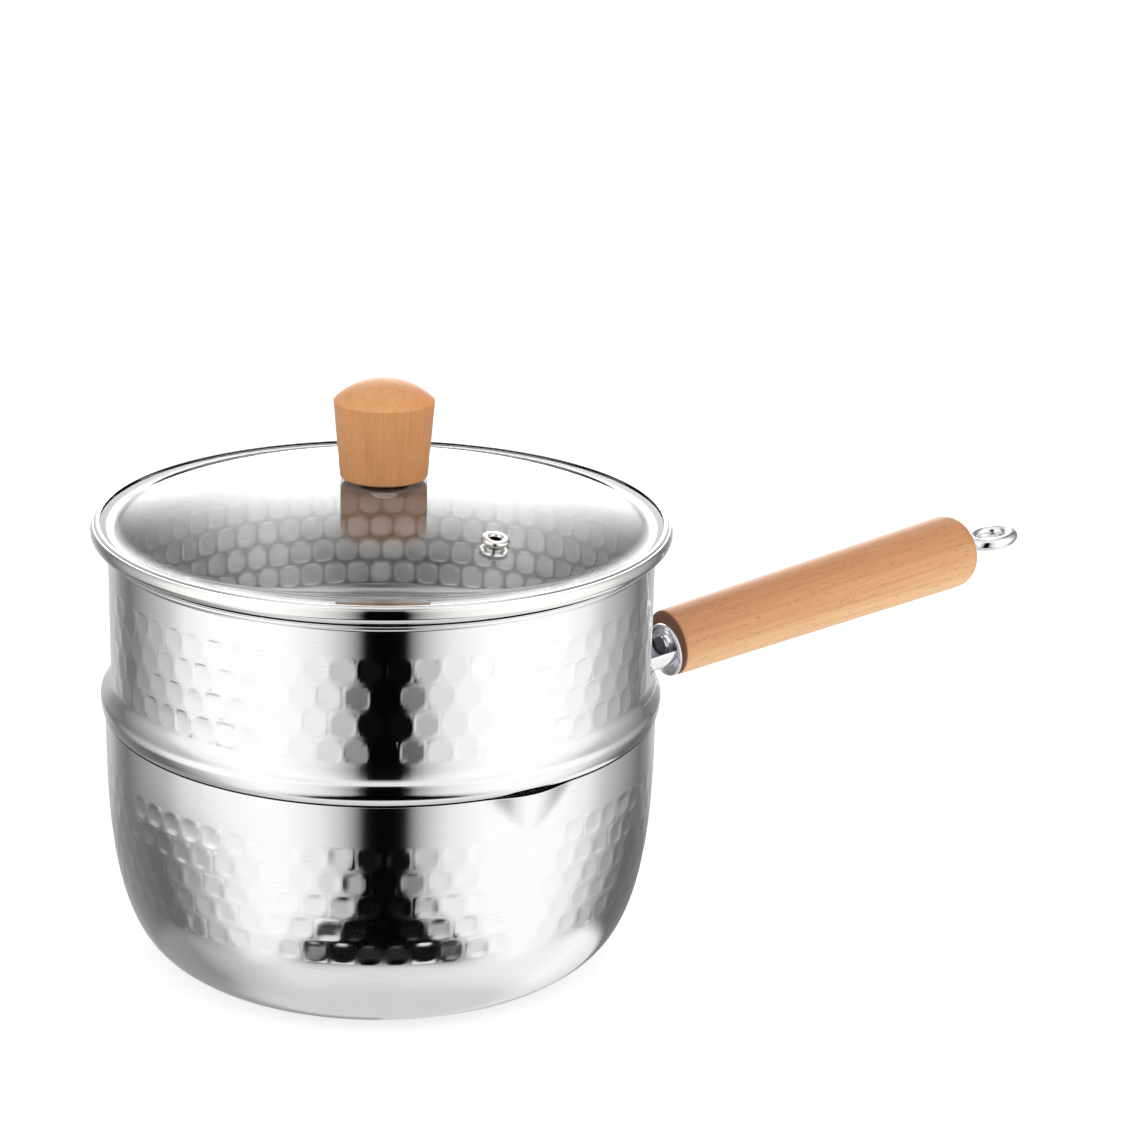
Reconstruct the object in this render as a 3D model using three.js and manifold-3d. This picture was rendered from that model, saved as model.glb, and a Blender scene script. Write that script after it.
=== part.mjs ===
// Hammered saucepan with a wooden stick handle, a steamer tier that sits in its mouth and a
// domed glass lid with a wooden knob. Millimetres, +Z up. The origin is the centre of the
// pan's underside, the handle points along +X and the pouring lips along +Y and -Y.

import * as THREE from "three";
import { mergeVertices } from "three/addons/utils/BufferGeometryUtils.js";
import Module from "manifold-3d";

const wasm = await Module();
wasm.setup();

// Shared sizes
const SHEET = 1.0; // pressed steel sheet
const SEAT_GAP = 0.3; // between pieces that rest on or fit in each other
const TILE_COUNT = 66; // hammered tiles round a wall
const INSIDE_SIDES = 44; // smooth insides of the pressings
const LID_SIDES = 40; // glass and band
const TURNED_SIDES = 20; // grip, knob, guard and eye
const SMALL_SIDES = 12; // screws, washers, bosses and the vent
const OVERCUT = 2.0; // how far a cutting tool runs past the face it cuts

// Pan
const PAN_RADIUS = 91.0; // outside, at the rim
const PAN_DEPTH = 81.0; // underside to rim
const BASE_RADIUS = 67.0; // flat foot
const CORNER_HEIGHT = 73.0; // foot to the start of the straight wall
const CORNER_POWER = 2.6; // 2 is an ellipse, more is squarer
const CORNER_STEPS = 5; // foot to the lowest row of tiles
const INSIDE_STEPS = 9; // foot to rim, inside

// Hammered tiles
const TILE_DEPTH = 0.35;
const TILE_POINT = 0.07; // how far a tile points past its row, as a share of the row's pitch
const PAN_ROWS = 5;
const PAN_ROW_PITCH = 8.2;
const PAN_TOP_ROW = 17.1; // rim down to the middle of the top row
const STEAMER_ROWS = 4;
const STEAMER_ROW_PITCH = 8.6;
const STEAMER_TOP_ROW = 14.6; // rim down to the middle of the top row

// Pouring lips
const LIP_WIDTH = 22.0;
const LIP_REACH = 3.2;
const LIP_DEPTH = 13.0;
const LIP_SIDES = 24;

// Steamer tier
const STEAMER_HEIGHT = 57.5; // pan rim to steamer rim
const BEAD_OVERHANG = 1.4; // bead past the pan's wall
const FLARE_WIDTH = 3.5; // steamer wall to the edge of the bead
const FLARE_TOP = 12.0; // above the pan's rim
const BEAD_HEIGHT = 6.0; // pan rim up to where the bead is widest
const BEAD_SEAT = 1.6; // width of the flat that rests on the pan's rim
const BEAD_TUCK = 1.7; // widest part of the bead in to its lower edge
const BEAD_DROP = 5.5; // and down to it
const BEAD_TURN = 70; // degrees of rounding from widest to underside
const FLARE_STEPS = 3;
const SPIGOT_PLAY = 1.2; // round the spigot, inside the pan
const SPIGOT_DEPTH = 14.0; // below the pan's rim
const SPIGOT_CORNER = 5.0;
const RIM_LIP = 1.5; // rim turned out past the wall
const RIM_THICKNESS = 1.5; // of that lip
const ROUND_STEPS = 2; // facets of a small rounded edge

// Steam holes
const HOLE_RADIUS = 4.0;
const HOLE_RINGS = 3;
const HOLE_PITCH = 20.0; // between rings of holes
const HOLES_PER_RING = 6; // in the first ring, with as many more in each ring after it
const HOLE_SIDES = 8;

// Lid
const GLASS_THICKNESS = 4.0;
const DOME_RISE = 13.6; // edge to crown
const DOME_STEPS = 5;
const BAND_SHEET = 0.7;
const BAND_OVERHANG = 5.4; // band past the steamer's wall
const BAND_ROUND = 1.8;
const BAND_GRIP = 3.4; // width of the lip over the glass
const BAND_SEAT = 2.4; // width of the flat that rests on the steamer's rim
const BAND_STEP = 1.1; // from that flat up to the underside of the band's edge
const SKIRT_PLAY = 0.5; // round the skirt, inside the steamer
const SKIRT_DEPTH = 5.0;

// Knob
const KNOB_BASE_RADIUS = 14.3;
const KNOB_TOP_RADIUS = 16.4;
const KNOB_SIDE = 24.4; // base to the crease
const KNOB_CROWN = 6.8; // crease to the top
const KNOB_ROUND = 1.4;
const INSERT_RADIUS = 4.2;
const INSERT_LENGTH = 14.0;
const SCREW_RADIUS = 2.4;
const SCREW_REACH = 9.0; // into the insert
const SCREW_HEAD_RADIUS = 4.6;
const SCREW_HEAD_HEIGHT = 2.4;
const WASHER_RADIUS = 8.0;
const WASHER_THICKNESS = 1.0;
const UPPER_GASKET_RADIUS = 12.0;
const LOWER_GASKET_RADIUS = 9.0;
const GASKET_THICKNESS = 0.6;

// Steam vent
const VENT_ANGLE = -85.5; // degrees round from the handle
const VENT_CENTRE = 60.5; // out from the knob
const VENT_HOLE_RADIUS = 1.8;
const VENT_TUBE_RADIUS = 2.8;
const VENT_FLANGE_RADIUS = 4.5;
const VENT_FLANGE_HEIGHT = 1.8;

// Handle
const HANDLE_TILT = 6.1; // degrees up from level
const HANDLE_START = 25.6; // pan wall to the front of the grip
const HANDLE_DROP = 0.3; // pan rim down to the axis at the front of the grip
const GRIP_LENGTH = 138.4;
const GRIP_FRONT_RADIUS = 11.9;
const GRIP_END_RADIUS = 13.8;
const GRIP_FRONT_ROUND = 1.2;
const GRIP_END_ROUND = 8.0;
const ROD_RADIUS = 2.0;
const ROD_OVERLAP = 10.0; // rod inside the bracket's boss
const GUARD_RADIUS = 9.6;
const GUARD_DROP = 2.4; // axis of the grip down to the middle of the guard
const GUARD_RIM = 1.3; // rolled rim, across
const GUARD_SHEET = 0.7;
const GUARD_DOME = 1.4; // rise of the guard's face
const BOSS_RADIUS = 3.6;
const BOSS_REACH = 14.0; // into the grip
const TANG_RADIUS = 8.0; // half-round bar, flat side up
const SADDLE_DROP = 8.5; // pan rim down to the middle of the saddle
const SADDLE_WIDTH = 32.0;
const SADDLE_HEIGHT = 15.0;
const SADDLE_THICKNESS = 1.8;
const EYE_LENGTH = 8.4; // middle of the ring to the middle of its wire, along the handle
const EYE_WIDTH = 6.4; // and across it
const EYE_WIRE = 2.3; // radius
const EYE_WIRE_SIDES = 8;
const EYE_NECK_RADIUS = 2.6;
const EYE_NECK = 3.1; // end of the grip to the ring
const EYE_SHANK_RADIUS = 4.2;
const EYE_SHANK_LENGTH = 16.0;
const EYE_OVERLAP = 6.0; // rod inside the shank

// Heights and radii that follow from the sizes above
const STEAMER_RADIUS = PAN_RADIUS + BEAD_OVERHANG - FLARE_WIDTH;
const BEAD_RADIUS = STEAMER_RADIUS + FLARE_WIDTH;
const SPIGOT_RADIUS = PAN_RADIUS - SHEET - SPIGOT_PLAY;
const FLOOR_BOTTOM = PAN_DEPTH - SPIGOT_DEPTH;
const STEAMER_RIM = PAN_DEPTH + STEAMER_HEIGHT;
const LID_SEAT = STEAMER_RIM + SEAT_GAP;
const BAND_BOTTOM = LID_SEAT + BAND_STEP;
const GLASS_EDGE_BOTTOM = BAND_BOTTOM + BAND_SHEET + SEAT_GAP;
const BAND_TOP = GLASS_EDGE_BOTTOM + GLASS_THICKNESS + SEAT_GAP + BAND_SHEET;
const BAND_RADIUS = STEAMER_RADIUS + BAND_OVERHANG;
const SKIRT_RADIUS = STEAMER_RADIUS - SHEET - SKIRT_PLAY;
const GLASS_RADIUS = BAND_RADIUS - BAND_SHEET - SEAT_GAP;
const DOME_RADIUS = SKIRT_RADIUS - 2 * BAND_SHEET;
const DOME_BEND = (DOME_RADIUS ** 2 + DOME_RISE ** 2) / (2 * DOME_RISE);
const CROWN_BOTTOM = GLASS_EDGE_BOTTOM + DOME_RISE;
const CROWN_TOP = CROWN_BOTTOM + GLASS_THICKNESS;
const KNOB_BASE = CROWN_TOP + GASKET_THICKNESS + 2 * SEAT_GAP;
const SCREW_HOLE_RADIUS = SCREW_RADIUS + SEAT_GAP;
const GRIP_BORE_RADIUS = ROD_RADIUS + SEAT_GAP;
const BOSS_BORE_RADIUS = BOSS_RADIUS + SEAT_GAP;
const GUARD_FRONT = SEAT_GAP + GUARD_SHEET + GUARD_DOME; // grip to the foremost point of the guard

const hammeredSteel = new THREE.MeshStandardMaterial({ color: 0xc9cbcd, roughness: 0.25, metalness: 1 });
const brightSteel = new THREE.MeshStandardMaterial({ color: 0xd8d5d0, roughness: 0.12, metalness: 1 });
const chrome = new THREE.MeshStandardMaterial({ color: 0xe2e3e6, roughness: 0.06, metalness: 1 });
const brass = new THREE.MeshStandardMaterial({ color: 0xb8934a, roughness: 0.35, metalness: 1 });
const beech = new THREE.MeshStandardMaterial({ color: 0xd09a63, roughness: 0.5, metalness: 0 });
const silicone = new THREE.MeshStandardMaterial({ color: 0x3a3a3a, roughness: 0.7, metalness: 0 });
const clearGlass = new THREE.MeshStandardMaterial({
  color: 0xf2f6f6, roughness: 0.03, metalness: 0, transparent: true, opacity: 0.3,
});

const radians = THREE.MathUtils.degToRad;
const smooth = (share) => share * share * (3 - 2 * share);
const shares = (steps) => Array.from({ length: steps + 1 }, (_, i) => i / steps);

// A profile of [radius, height] pairs, from axis to axis, turned about +Z.
function revolve(profile, sides) {
  const points = profile.map(([radius, height]) => new THREE.Vector2(radius, height));
  return new THREE.LatheGeometry(points, sides).rotateX(Math.PI / 2);
}

// A profile that stays off the axis, closed on itself and turned about +Z.
function revolveRing(profile, sides) {
  return revolve([...profile, profile[0]], sides);
}

// Points on an arc round [radius, height], from one angle in degrees to another.
function arc([radius, height], size, from, to, steps) {
  return shares(steps).map((share) => {
    const angle = radians(from + (to - from) * share);
    return [radius + size * Math.cos(angle), height + size * Math.sin(angle)];
  });
}

// A profile moved to its left by a distance, with the first and last points moved squarely.
function inset(profile, distance) {
  return profile.map((point, i) => {
    const before = profile[Math.max(i - 1, 0)];
    const after = profile[Math.min(i + 1, profile.length - 1)];
    const along = [after[0] - before[0], after[1] - before[1]];
    const length = Math.hypot(...along);
    return [point[0] - (along[1] / length) * distance, point[1] + (along[0] / length) * distance];
  });
}

// A plain round bar or tube wall from one height to another.
function bar(radius, bottom, top, sides = SMALL_SIDES) {
  return revolve([[0, bottom], [radius, bottom], [radius, top], [0, top]], sides);
}

function tube(inside, outside, bottom, top, sides = SMALL_SIDES) {
  return revolveRing([[inside, bottom], [outside, bottom], [outside, top], [inside, top]], sides);
}

// A closed geometry as a solid that can be joined and cut.
function solid(geometry) {
  const bare = new THREE.BufferGeometry();
  bare.setAttribute("position", geometry.getAttribute("position"));
  bare.setIndex(geometry.getIndex());
  const merged = mergeVertices(bare);
  const vertProperties = merged.getAttribute("position").array;
  const triVerts = new Uint32Array(merged.getIndex().array);
  return new wasm.Manifold(new wasm.Mesh({ numProp: 3, vertProperties, triVerts }));
}

function geometryOf(shape) {
  const { vertProperties, triVerts } = shape.getMesh();
  const geometry = new THREE.BufferGeometry();
  geometry.setAttribute("position", new THREE.BufferAttribute(vertProperties, 3));
  geometry.setIndex(new THREE.BufferAttribute(triVerts, 1));
  geometry.computeVertexNormals();
  return geometry;
}

function addPiece(group, name, geometry, material) {
  const mesh = new THREE.Mesh(geometry, material);
  mesh.name = name;
  group.add(mesh);
}

// A profile turned about +Z, with staggered rows of six-sided tiles hammered into its wall. The
// profile runs from axis to axis and its points below and above the tiles are given apart.
// radiusAt gives the wall's radius at a height, and lowest is the middle of the lowest row.
function hammeredTurn({ below, above, radiusAt, lowest, rows, pitch }) {
  const positions = [];
  const index = [];
  const halfSteps = Array.from({ length: TILE_COUNT }, (_, i) => 2 * i);
  const addPoint = (x, y, z) => positions.push(x, y, z) / 3 - 1;

  // A ring of points at even or odd half steps, as a function from half step to point number.
  const addRing = (radius, height, odd) => {
    const numbers = halfSteps.map((step) => {
      const angle = ((step + odd) * Math.PI) / TILE_COUNT;
      return addPoint(radius * Math.cos(angle), radius * Math.sin(angle), height);
    });
    return (step) => numbers[((step - odd) / 2 + TILE_COUNT) % TILE_COUNT];
  };
  const addWallRing = (height, odd, depth = 0) => addRing(radiusAt(height) - depth, height, odd);
  const addBand = (low, high, odd) => halfSteps.forEach((even) => {
    const step = even + odd;
    index.push(low(step), low(step + 2), high(step + 2), low(step), high(step + 2), high(step));
  });

  const point = pitch * (0.5 + TILE_POINT);
  const flat = pitch - point;
  const middle = (row) => lowest + row * pitch;
  const bottom = addWallRing(middle(0) - point, 0);
  const tiles = Array.from({ length: rows }, (_, row) => ({
    odd: row % 2,
    lower: addWallRing(middle(row) - flat, 1 - (row % 2)),
    centre: addWallRing(middle(row), row % 2, TILE_DEPTH),
    upper: addWallRing(middle(row) + flat, 1 - (row % 2)),
  }));
  const topOdd = (rows - 1) % 2;
  const top = addWallRing(middle(rows - 1) + point, topOdd);
  tiles.forEach(({ odd, lower, centre, upper }, row) => {
    const under = row === 0 ? bottom : tiles[row - 1].upper;
    const over = row === rows - 1 ? top : tiles[row + 1].lower;
    for (const even of halfSteps) {
      const step = even + odd;
      const [left, right] = [step - 1, step + 1];
      const corners = [under(step), lower(right), upper(right), over(step), upper(left), lower(left)];
      corners.forEach((corner, i) => index.push(centre(step), corner, corners[(i + 1) % corners.length]));
    }
  });

  const lowRings = below.slice(1).map(([radius, height]) => addRing(radius, height, 0));
  const highRings = above.slice(0, -1).map(([radius, height]) => addRing(radius, height, topOdd));
  lowRings.slice(1).forEach((ring, i) => addBand(lowRings[i], ring, 0));
  highRings.slice(1).forEach((ring, i) => addBand(highRings[i], ring, topOdd));
  const foot = addPoint(0, 0, below[0][1]);
  const crown = addPoint(0, 0, above.at(-1)[1]);
  for (const step of halfSteps) {
    const [start, end, left, right] = [lowRings.at(-1), bottom, step, step + 2];
    const notch = tiles[0].lower(step + 1);
    index.push(notch, start(left), start(right));
    index.push(notch, start(right), end(right));
    index.push(notch, end(left), start(left));
    index.push(foot, lowRings[0](right), lowRings[0](left));
  }
  for (const even of halfSteps) {
    const [start, end, left, right] = [top, highRings[0], even + topOdd, even + topOdd + 2];
    const notch = tiles.at(-1).upper(left + 1);
    index.push(notch, end(right), end(left));
    index.push(notch, start(right), end(right));
    index.push(notch, end(left), start(left));
    index.push(highRings.at(-1)(left), highRings.at(-1)(right), crown);
  }
  const geometry = new THREE.BufferGeometry();
  geometry.setAttribute("position", new THREE.Float32BufferAttribute(positions, 3));
  return geometry.setIndex(index);
}

// Pan: a pressed shell with a large rounded corner and a pouring lip on each side.
function panRadius(height) {
  const drop = Math.max(1 - height / CORNER_HEIGHT, 0);
  return BASE_RADIUS + (PAN_RADIUS - BASE_RADIUS) * (1 - drop ** CORNER_POWER) ** (1 / CORNER_POWER);
}

// A slanted cone whose tip lies on the wall below the rim and whose mouth bulges past it.
// thinner takes that much off its radius, and it runs on above the rim by extra.
function lipCone(thinner, extra) {
  const halfWidth = LIP_WIDTH / 2;
  const mouth = (halfWidth ** 2 + LIP_REACH ** 2) / (2 * LIP_REACH);
  const lean = (LIP_REACH - mouth) / LIP_DEPTH;
  const flare = mouth / LIP_DEPTH;
  const tip = thinner / flare;
  const height = LIP_DEPTH + extra - tip;
  const cone = new THREE.ConeGeometry(height * flare, height, LIP_SIDES);
  cone.rotateX(-Math.PI / 2).translate(0, 0, height / 2 + tip);
  cone.applyMatrix4(new THREE.Matrix4().makeShear(0, 0, 0, 0, lean, 0));
  return cone.translate(PAN_RADIUS, 0, PAN_DEPTH - LIP_DEPTH);
}

function panBody() {
  const lowest = PAN_DEPTH - PAN_TOP_ROW - (PAN_ROWS - 1) * PAN_ROW_PITCH;
  const wallAt = (height) => [panRadius(height), height];
  const cornerTop = lowest - PAN_ROW_PITCH * (0.5 + 2 * TILE_POINT);
  const corner = shares(CORNER_STEPS).map((share) => wallAt(cornerTop * share ** 2));
  let outer = solid(hammeredTurn({
    below: [[0, 0], ...corner],
    above: [[PAN_RADIUS, PAN_DEPTH], [0, PAN_DEPTH]],
    radiusAt: panRadius,
    lowest,
    rows: PAN_ROWS,
    pitch: PAN_ROW_PITCH,
  }));
  const wall = shares(INSIDE_STEPS).map((share) => wallAt(PAN_DEPTH * share ** 2));
  const inside = inset([[0, 0], ...wall], SHEET);
  const mouth = [[inside.at(-1)[0], PAN_DEPTH + OVERCUT], [0, PAN_DEPTH + OVERCUT]];
  let inner = solid(revolve([...inside, ...mouth], INSIDE_SIDES));
  for (const side of [-1, 1]) {
    const turn = (side * Math.PI) / 2;
    outer = outer.add(solid(lipCone(0, 0).rotateZ(turn)));
    inner = inner.add(solid(lipCone(SHEET, OVERCUT).rotateZ(turn)));
  }
  return geometryOf(outer.subtract(inner));
}

// Steamer: a straight wall that swells into a bead on the pan's rim, then a spigot inside it.
function beadPoints(thinner) {
  const widest = [BEAD_RADIUS - thinner, PAN_DEPTH + BEAD_HEIGHT];
  const lower = shares(ROUND_STEPS).slice(0, -1).map((share) => {
    const angle = radians(BEAD_TURN * (1 - share));
    return [widest[0] - BEAD_TUCK * (1 - Math.cos(angle)), widest[1] - BEAD_DROP * Math.sin(angle)];
  });
  const upper = shares(FLARE_STEPS).map((share) => [
    widest[0] - FLARE_WIDTH * smooth(share),
    widest[1] + (FLARE_TOP - BEAD_HEIGHT) * share,
  ]);
  return [...lower, ...upper];
}

function steamerBody() {
  const seat = PAN_DEPTH + SEAT_GAP;
  const rimRound = RIM_THICKNESS / 2;
  const cornerCentre = [SPIGOT_RADIUS - SPIGOT_CORNER, FLOOR_BOTTOM + SPIGOT_CORNER];
  const outer = solid(hammeredTurn({
    below: [
      [0, FLOOR_BOTTOM],
      ...arc(cornerCentre, SPIGOT_CORNER, -90, 0, ROUND_STEPS),
      [SPIGOT_RADIUS, seat],
      [SPIGOT_RADIUS + BEAD_SEAT, seat],
      ...beadPoints(0),
    ],
    above: [
      [STEAMER_RADIUS, STEAMER_RIM - RIM_THICKNESS],
      ...arc([STEAMER_RADIUS + RIM_LIP - rimRound, STEAMER_RIM - rimRound], rimRound, -90, 90, ROUND_STEPS),
      [0, STEAMER_RIM],
    ],
    radiusAt: () => STEAMER_RADIUS,
    lowest: STEAMER_RIM - STEAMER_TOP_ROW - (STEAMER_ROWS - 1) * STEAMER_ROW_PITCH,
    rows: STEAMER_ROWS,
    pitch: STEAMER_ROW_PITCH,
  }));
  const inner = solid(revolve([
    [0, FLOOR_BOTTOM + SHEET],
    ...arc(cornerCentre, SPIGOT_CORNER - SHEET, -90, 0, ROUND_STEPS),
    [SPIGOT_RADIUS - SHEET, seat + SHEET],
    [SPIGOT_RADIUS - SHEET + BEAD_SEAT, seat + SHEET],
    ...beadPoints(SHEET).slice(1),
    [STEAMER_RADIUS - SHEET, STEAMER_RIM + OVERCUT],
    [0, STEAMER_RIM + OVERCUT],
  ], INSIDE_SIDES));
  let shell = outer.subtract(inner);
  const drill = () => bar(HOLE_RADIUS, FLOOR_BOTTOM - OVERCUT, FLOOR_BOTTOM + SHEET + OVERCUT, HOLE_SIDES);
  shell = shell.subtract(solid(drill()));
  for (let ring = 1; ring <= HOLE_RINGS; ring += 1) {
    const count = ring * HOLES_PER_RING;
    for (let i = 0; i < count; i += 1) {
      const hole = drill().translate(ring * HOLE_PITCH, 0, 0);
      shell = shell.subtract(solid(hole.rotateZ((i * 2 * Math.PI) / count)));
    }
  }
  return geometryOf(shell);
}

// Lid: domed glass in a steel band that hooks inside the steamer's rim.
function domePoint(share, raised) {
  const radius = DOME_RADIUS * share;
  const drop = DOME_BEND - Math.sqrt(DOME_BEND ** 2 - radius ** 2);
  return [radius, CROWN_BOTTOM + raised - drop];
}

function ventFrame() {
  const [, height] = domePoint(VENT_CENTRE / DOME_RADIUS, GLASS_THICKNESS);
  const lean = Math.asin(VENT_CENTRE / DOME_BEND);
  const place = new THREE.Matrix4().makeRotationZ(radians(VENT_ANGLE));
  place.multiply(new THREE.Matrix4().makeTranslation(VENT_CENTRE, 0, height));
  return place.multiply(new THREE.Matrix4().makeRotationY(lean));
}

function lidGlass() {
  const under = shares(DOME_STEPS).map((share) => domePoint(share, 0));
  const over = shares(DOME_STEPS).map((share) => domePoint(share, GLASS_THICKNESS));
  const edge = [[GLASS_RADIUS, GLASS_EDGE_BOTTOM], [GLASS_RADIUS, GLASS_EDGE_BOTTOM + GLASS_THICKNESS]];
  const disc = solid(revolve([...under, ...edge, ...over.reverse()], LID_SIDES));
  const knobHole = bar(SCREW_HOLE_RADIUS + SEAT_GAP, CROWN_BOTTOM - OVERCUT, CROWN_TOP + OVERCUT);
  const ventHole = bar(VENT_TUBE_RADIUS + SEAT_GAP, -GLASS_THICKNESS - OVERCUT, OVERCUT);
  return geometryOf(disc.subtract(solid(knobHole)).subtract(solid(ventHole.applyMatrix4(ventFrame()))));
}

function lidBand() {
  const low = BAND_BOTTOM + BAND_ROUND;
  const high = BAND_TOP - BAND_ROUND;
  const shoulder = BAND_RADIUS - BAND_ROUND;
  const inner = BAND_RADIUS - BAND_SHEET;
  const step = SKIRT_RADIUS + BAND_SEAT;
  return revolveRing([
    [SKIRT_RADIUS - BAND_SHEET, LID_SEAT - SKIRT_DEPTH],
    [SKIRT_RADIUS, LID_SEAT - SKIRT_DEPTH],
    [SKIRT_RADIUS, LID_SEAT],
    [step, LID_SEAT],
    [step, BAND_BOTTOM],
    ...arc([shoulder, low], BAND_ROUND, -90, 0, ROUND_STEPS),
    ...arc([shoulder, high], BAND_ROUND, 0, 90, ROUND_STEPS),
    [inner - BAND_GRIP, BAND_TOP],
    [inner - BAND_GRIP, BAND_TOP - BAND_SHEET],
    [inner, BAND_TOP - BAND_SHEET],
    [inner, BAND_BOTTOM + BAND_SHEET],
    [step - BAND_SHEET, BAND_BOTTOM + BAND_SHEET],
    [step - BAND_SHEET, LID_SEAT + BAND_SHEET],
    [SKIRT_RADIUS - BAND_SHEET, LID_SEAT + BAND_SHEET],
  ], LID_SIDES);
}

function knob() {
  const crease = KNOB_BASE + KNOB_SIDE;
  const crownBend = (KNOB_TOP_RADIUS ** 2 + KNOB_CROWN ** 2) / (2 * KNOB_CROWN);
  const crown = shares(2 * ROUND_STEPS).map((share) => {
    const radius = KNOB_TOP_RADIUS * (1 - share);
    const drop = crownBend - Math.sqrt(crownBend ** 2 - radius ** 2);
    return [radius, crease + KNOB_CROWN - drop];
  });
  const bore = INSERT_RADIUS + SEAT_GAP;
  const boreTop = KNOB_BASE + INSERT_LENGTH + SEAT_GAP;
  return revolve([
    [0, boreTop],
    [bore, boreTop],
    [bore, KNOB_BASE],
    ...arc([KNOB_BASE_RADIUS - KNOB_ROUND, KNOB_BASE + KNOB_ROUND], KNOB_ROUND, -90, 0, ROUND_STEPS),
    ...crown,
  ], TURNED_SIDES);
}

// The screw's head and shank, its washer and the two gaskets that grip the glass.
function addKnobFixings(group) {
  const gasketTop = CROWN_BOTTOM - SEAT_GAP;
  const washerTop = gasketTop - GASKET_THICKNESS - SEAT_GAP;
  const headTop = washerTop - WASHER_THICKNESS - SEAT_GAP;
  const headBottom = headTop - SCREW_HEAD_HEIGHT;
  const screw = revolve([
    [0, headBottom],
    [SCREW_HEAD_RADIUS * 0.6, headBottom],
    [SCREW_HEAD_RADIUS, headTop - SCREW_HEAD_HEIGHT / 2],
    [SCREW_HEAD_RADIUS, headTop],
    [SCREW_RADIUS, headTop],
    [SCREW_RADIUS, KNOB_BASE + SCREW_REACH],
    [0, KNOB_BASE + SCREW_REACH],
  ], SMALL_SIDES);
  const upperBottom = CROWN_TOP + SEAT_GAP;
  const upper = tube(SCREW_HOLE_RADIUS, UPPER_GASKET_RADIUS, upperBottom, upperBottom + GASKET_THICKNESS);
  const lower = tube(SCREW_HOLE_RADIUS, LOWER_GASKET_RADIUS, gasketTop - GASKET_THICKNESS, gasketTop);
  const washer = tube(SCREW_HOLE_RADIUS, WASHER_RADIUS, washerTop - WASHER_THICKNESS, washerTop);
  const insert = tube(SCREW_HOLE_RADIUS, INSERT_RADIUS, KNOB_BASE + SEAT_GAP, KNOB_BASE + INSERT_LENGTH);
  addPiece(group, "knob_screw", screw, brightSteel);
  addPiece(group, "knob_gasket_upper", upper, silicone);
  addPiece(group, "knob_gasket_lower", lower, silicone);
  addPiece(group, "knob_washer", washer, brightSteel);
  addPiece(group, "knob_insert", insert, brass);
}

// The vent is a flanged tube through the glass, clinched under it into a collar.
function ventGroup() {
  const group = new THREE.Group();
  group.applyMatrix4(ventFrame());
  const under = -GLASS_THICKNESS - SEAT_GAP;
  const round = VENT_FLANGE_HEIGHT / 2;
  const flangeEdge = [VENT_FLANGE_RADIUS - round, SEAT_GAP + round];
  const mouthEdge = [VENT_HOLE_RADIUS + round, SEAT_GAP + round];
  const eyelet = revolveRing([
    [VENT_HOLE_RADIUS, under - VENT_FLANGE_HEIGHT],
    [VENT_TUBE_RADIUS, under - VENT_FLANGE_HEIGHT],
    [VENT_TUBE_RADIUS, SEAT_GAP],
    ...arc(flangeEdge, round, -90, 90, ROUND_STEPS),
    ...arc(mouthEdge, round, 90, 180, ROUND_STEPS),
  ], SMALL_SIDES);
  const collarInside = VENT_TUBE_RADIUS + SEAT_GAP;
  const collar = tube(collarInside, VENT_FLANGE_RADIUS, under - VENT_FLANGE_HEIGHT, under);
  addPiece(group, "vent_eyelet", eyelet, brightSteel);
  addPiece(group, "vent_collar", collar, brightSteel);
  return group;
}

// Handle: everything on its axis is modelled along +Z from the front face of the grip.
function handleFrame() {
  const front = [PAN_RADIUS + HANDLE_START, 0, PAN_DEPTH - HANDLE_DROP];
  const place = new THREE.Matrix4().makeTranslation(...front);
  return place.multiply(new THREE.Matrix4().makeRotationY(Math.PI / 2 - radians(HANDLE_TILT)));
}

function handleGrip() {
  const shankBore = EYE_SHANK_RADIUS + SEAT_GAP;
  const shankSeat = GRIP_LENGTH - EYE_SHANK_LENGTH - SEAT_GAP;
  const endCentre = [GRIP_END_RADIUS - GRIP_END_ROUND, GRIP_LENGTH - GRIP_END_ROUND];
  const bossSeat = BOSS_REACH + SEAT_GAP;
  return revolveRing([
    [GRIP_BORE_RADIUS, bossSeat],
    [BOSS_BORE_RADIUS, bossSeat],
    [BOSS_BORE_RADIUS, 0],
    ...arc([GRIP_FRONT_RADIUS - GRIP_FRONT_ROUND, GRIP_FRONT_ROUND], GRIP_FRONT_ROUND, -90, 0, ROUND_STEPS),
    ...arc(endCentre, GRIP_END_ROUND, 0, 90, 2 * ROUND_STEPS),
    [shankBore, GRIP_LENGTH],
    [shankBore, shankSeat],
    [GRIP_BORE_RADIUS, shankSeat],
  ], TURNED_SIDES);
}

// A shallow domed disc with a rolled rim that keeps the flame off the end of the grip. It hangs
// lower than the grip's axis, and local +X points down.
function flameGuard() {
  const face = -SEAT_GAP - GUARD_SHEET;
  const groove = GUARD_RADIUS - GUARD_RIM;
  const dome = shares(2 * ROUND_STEPS).map((share) => [groove * share, face - GUARD_DOME * (1 - share ** 2)]);
  const rim = arc([GUARD_RADIUS - GUARD_RIM / 2, face], GUARD_RIM / 2, 180, 360, 2 * ROUND_STEPS);
  const disc = revolve([...dome, ...rim.slice(1), [GUARD_RADIUS, -SEAT_GAP], [0, -SEAT_GAP]], TURNED_SIDES);
  const bore = bar(BOSS_BORE_RADIUS, -GUARD_FRONT - OVERCUT, OVERCUT);
  return geometryOf(solid(disc.translate(GUARD_DROP, 0, 0)).subtract(solid(bore)));
}

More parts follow.
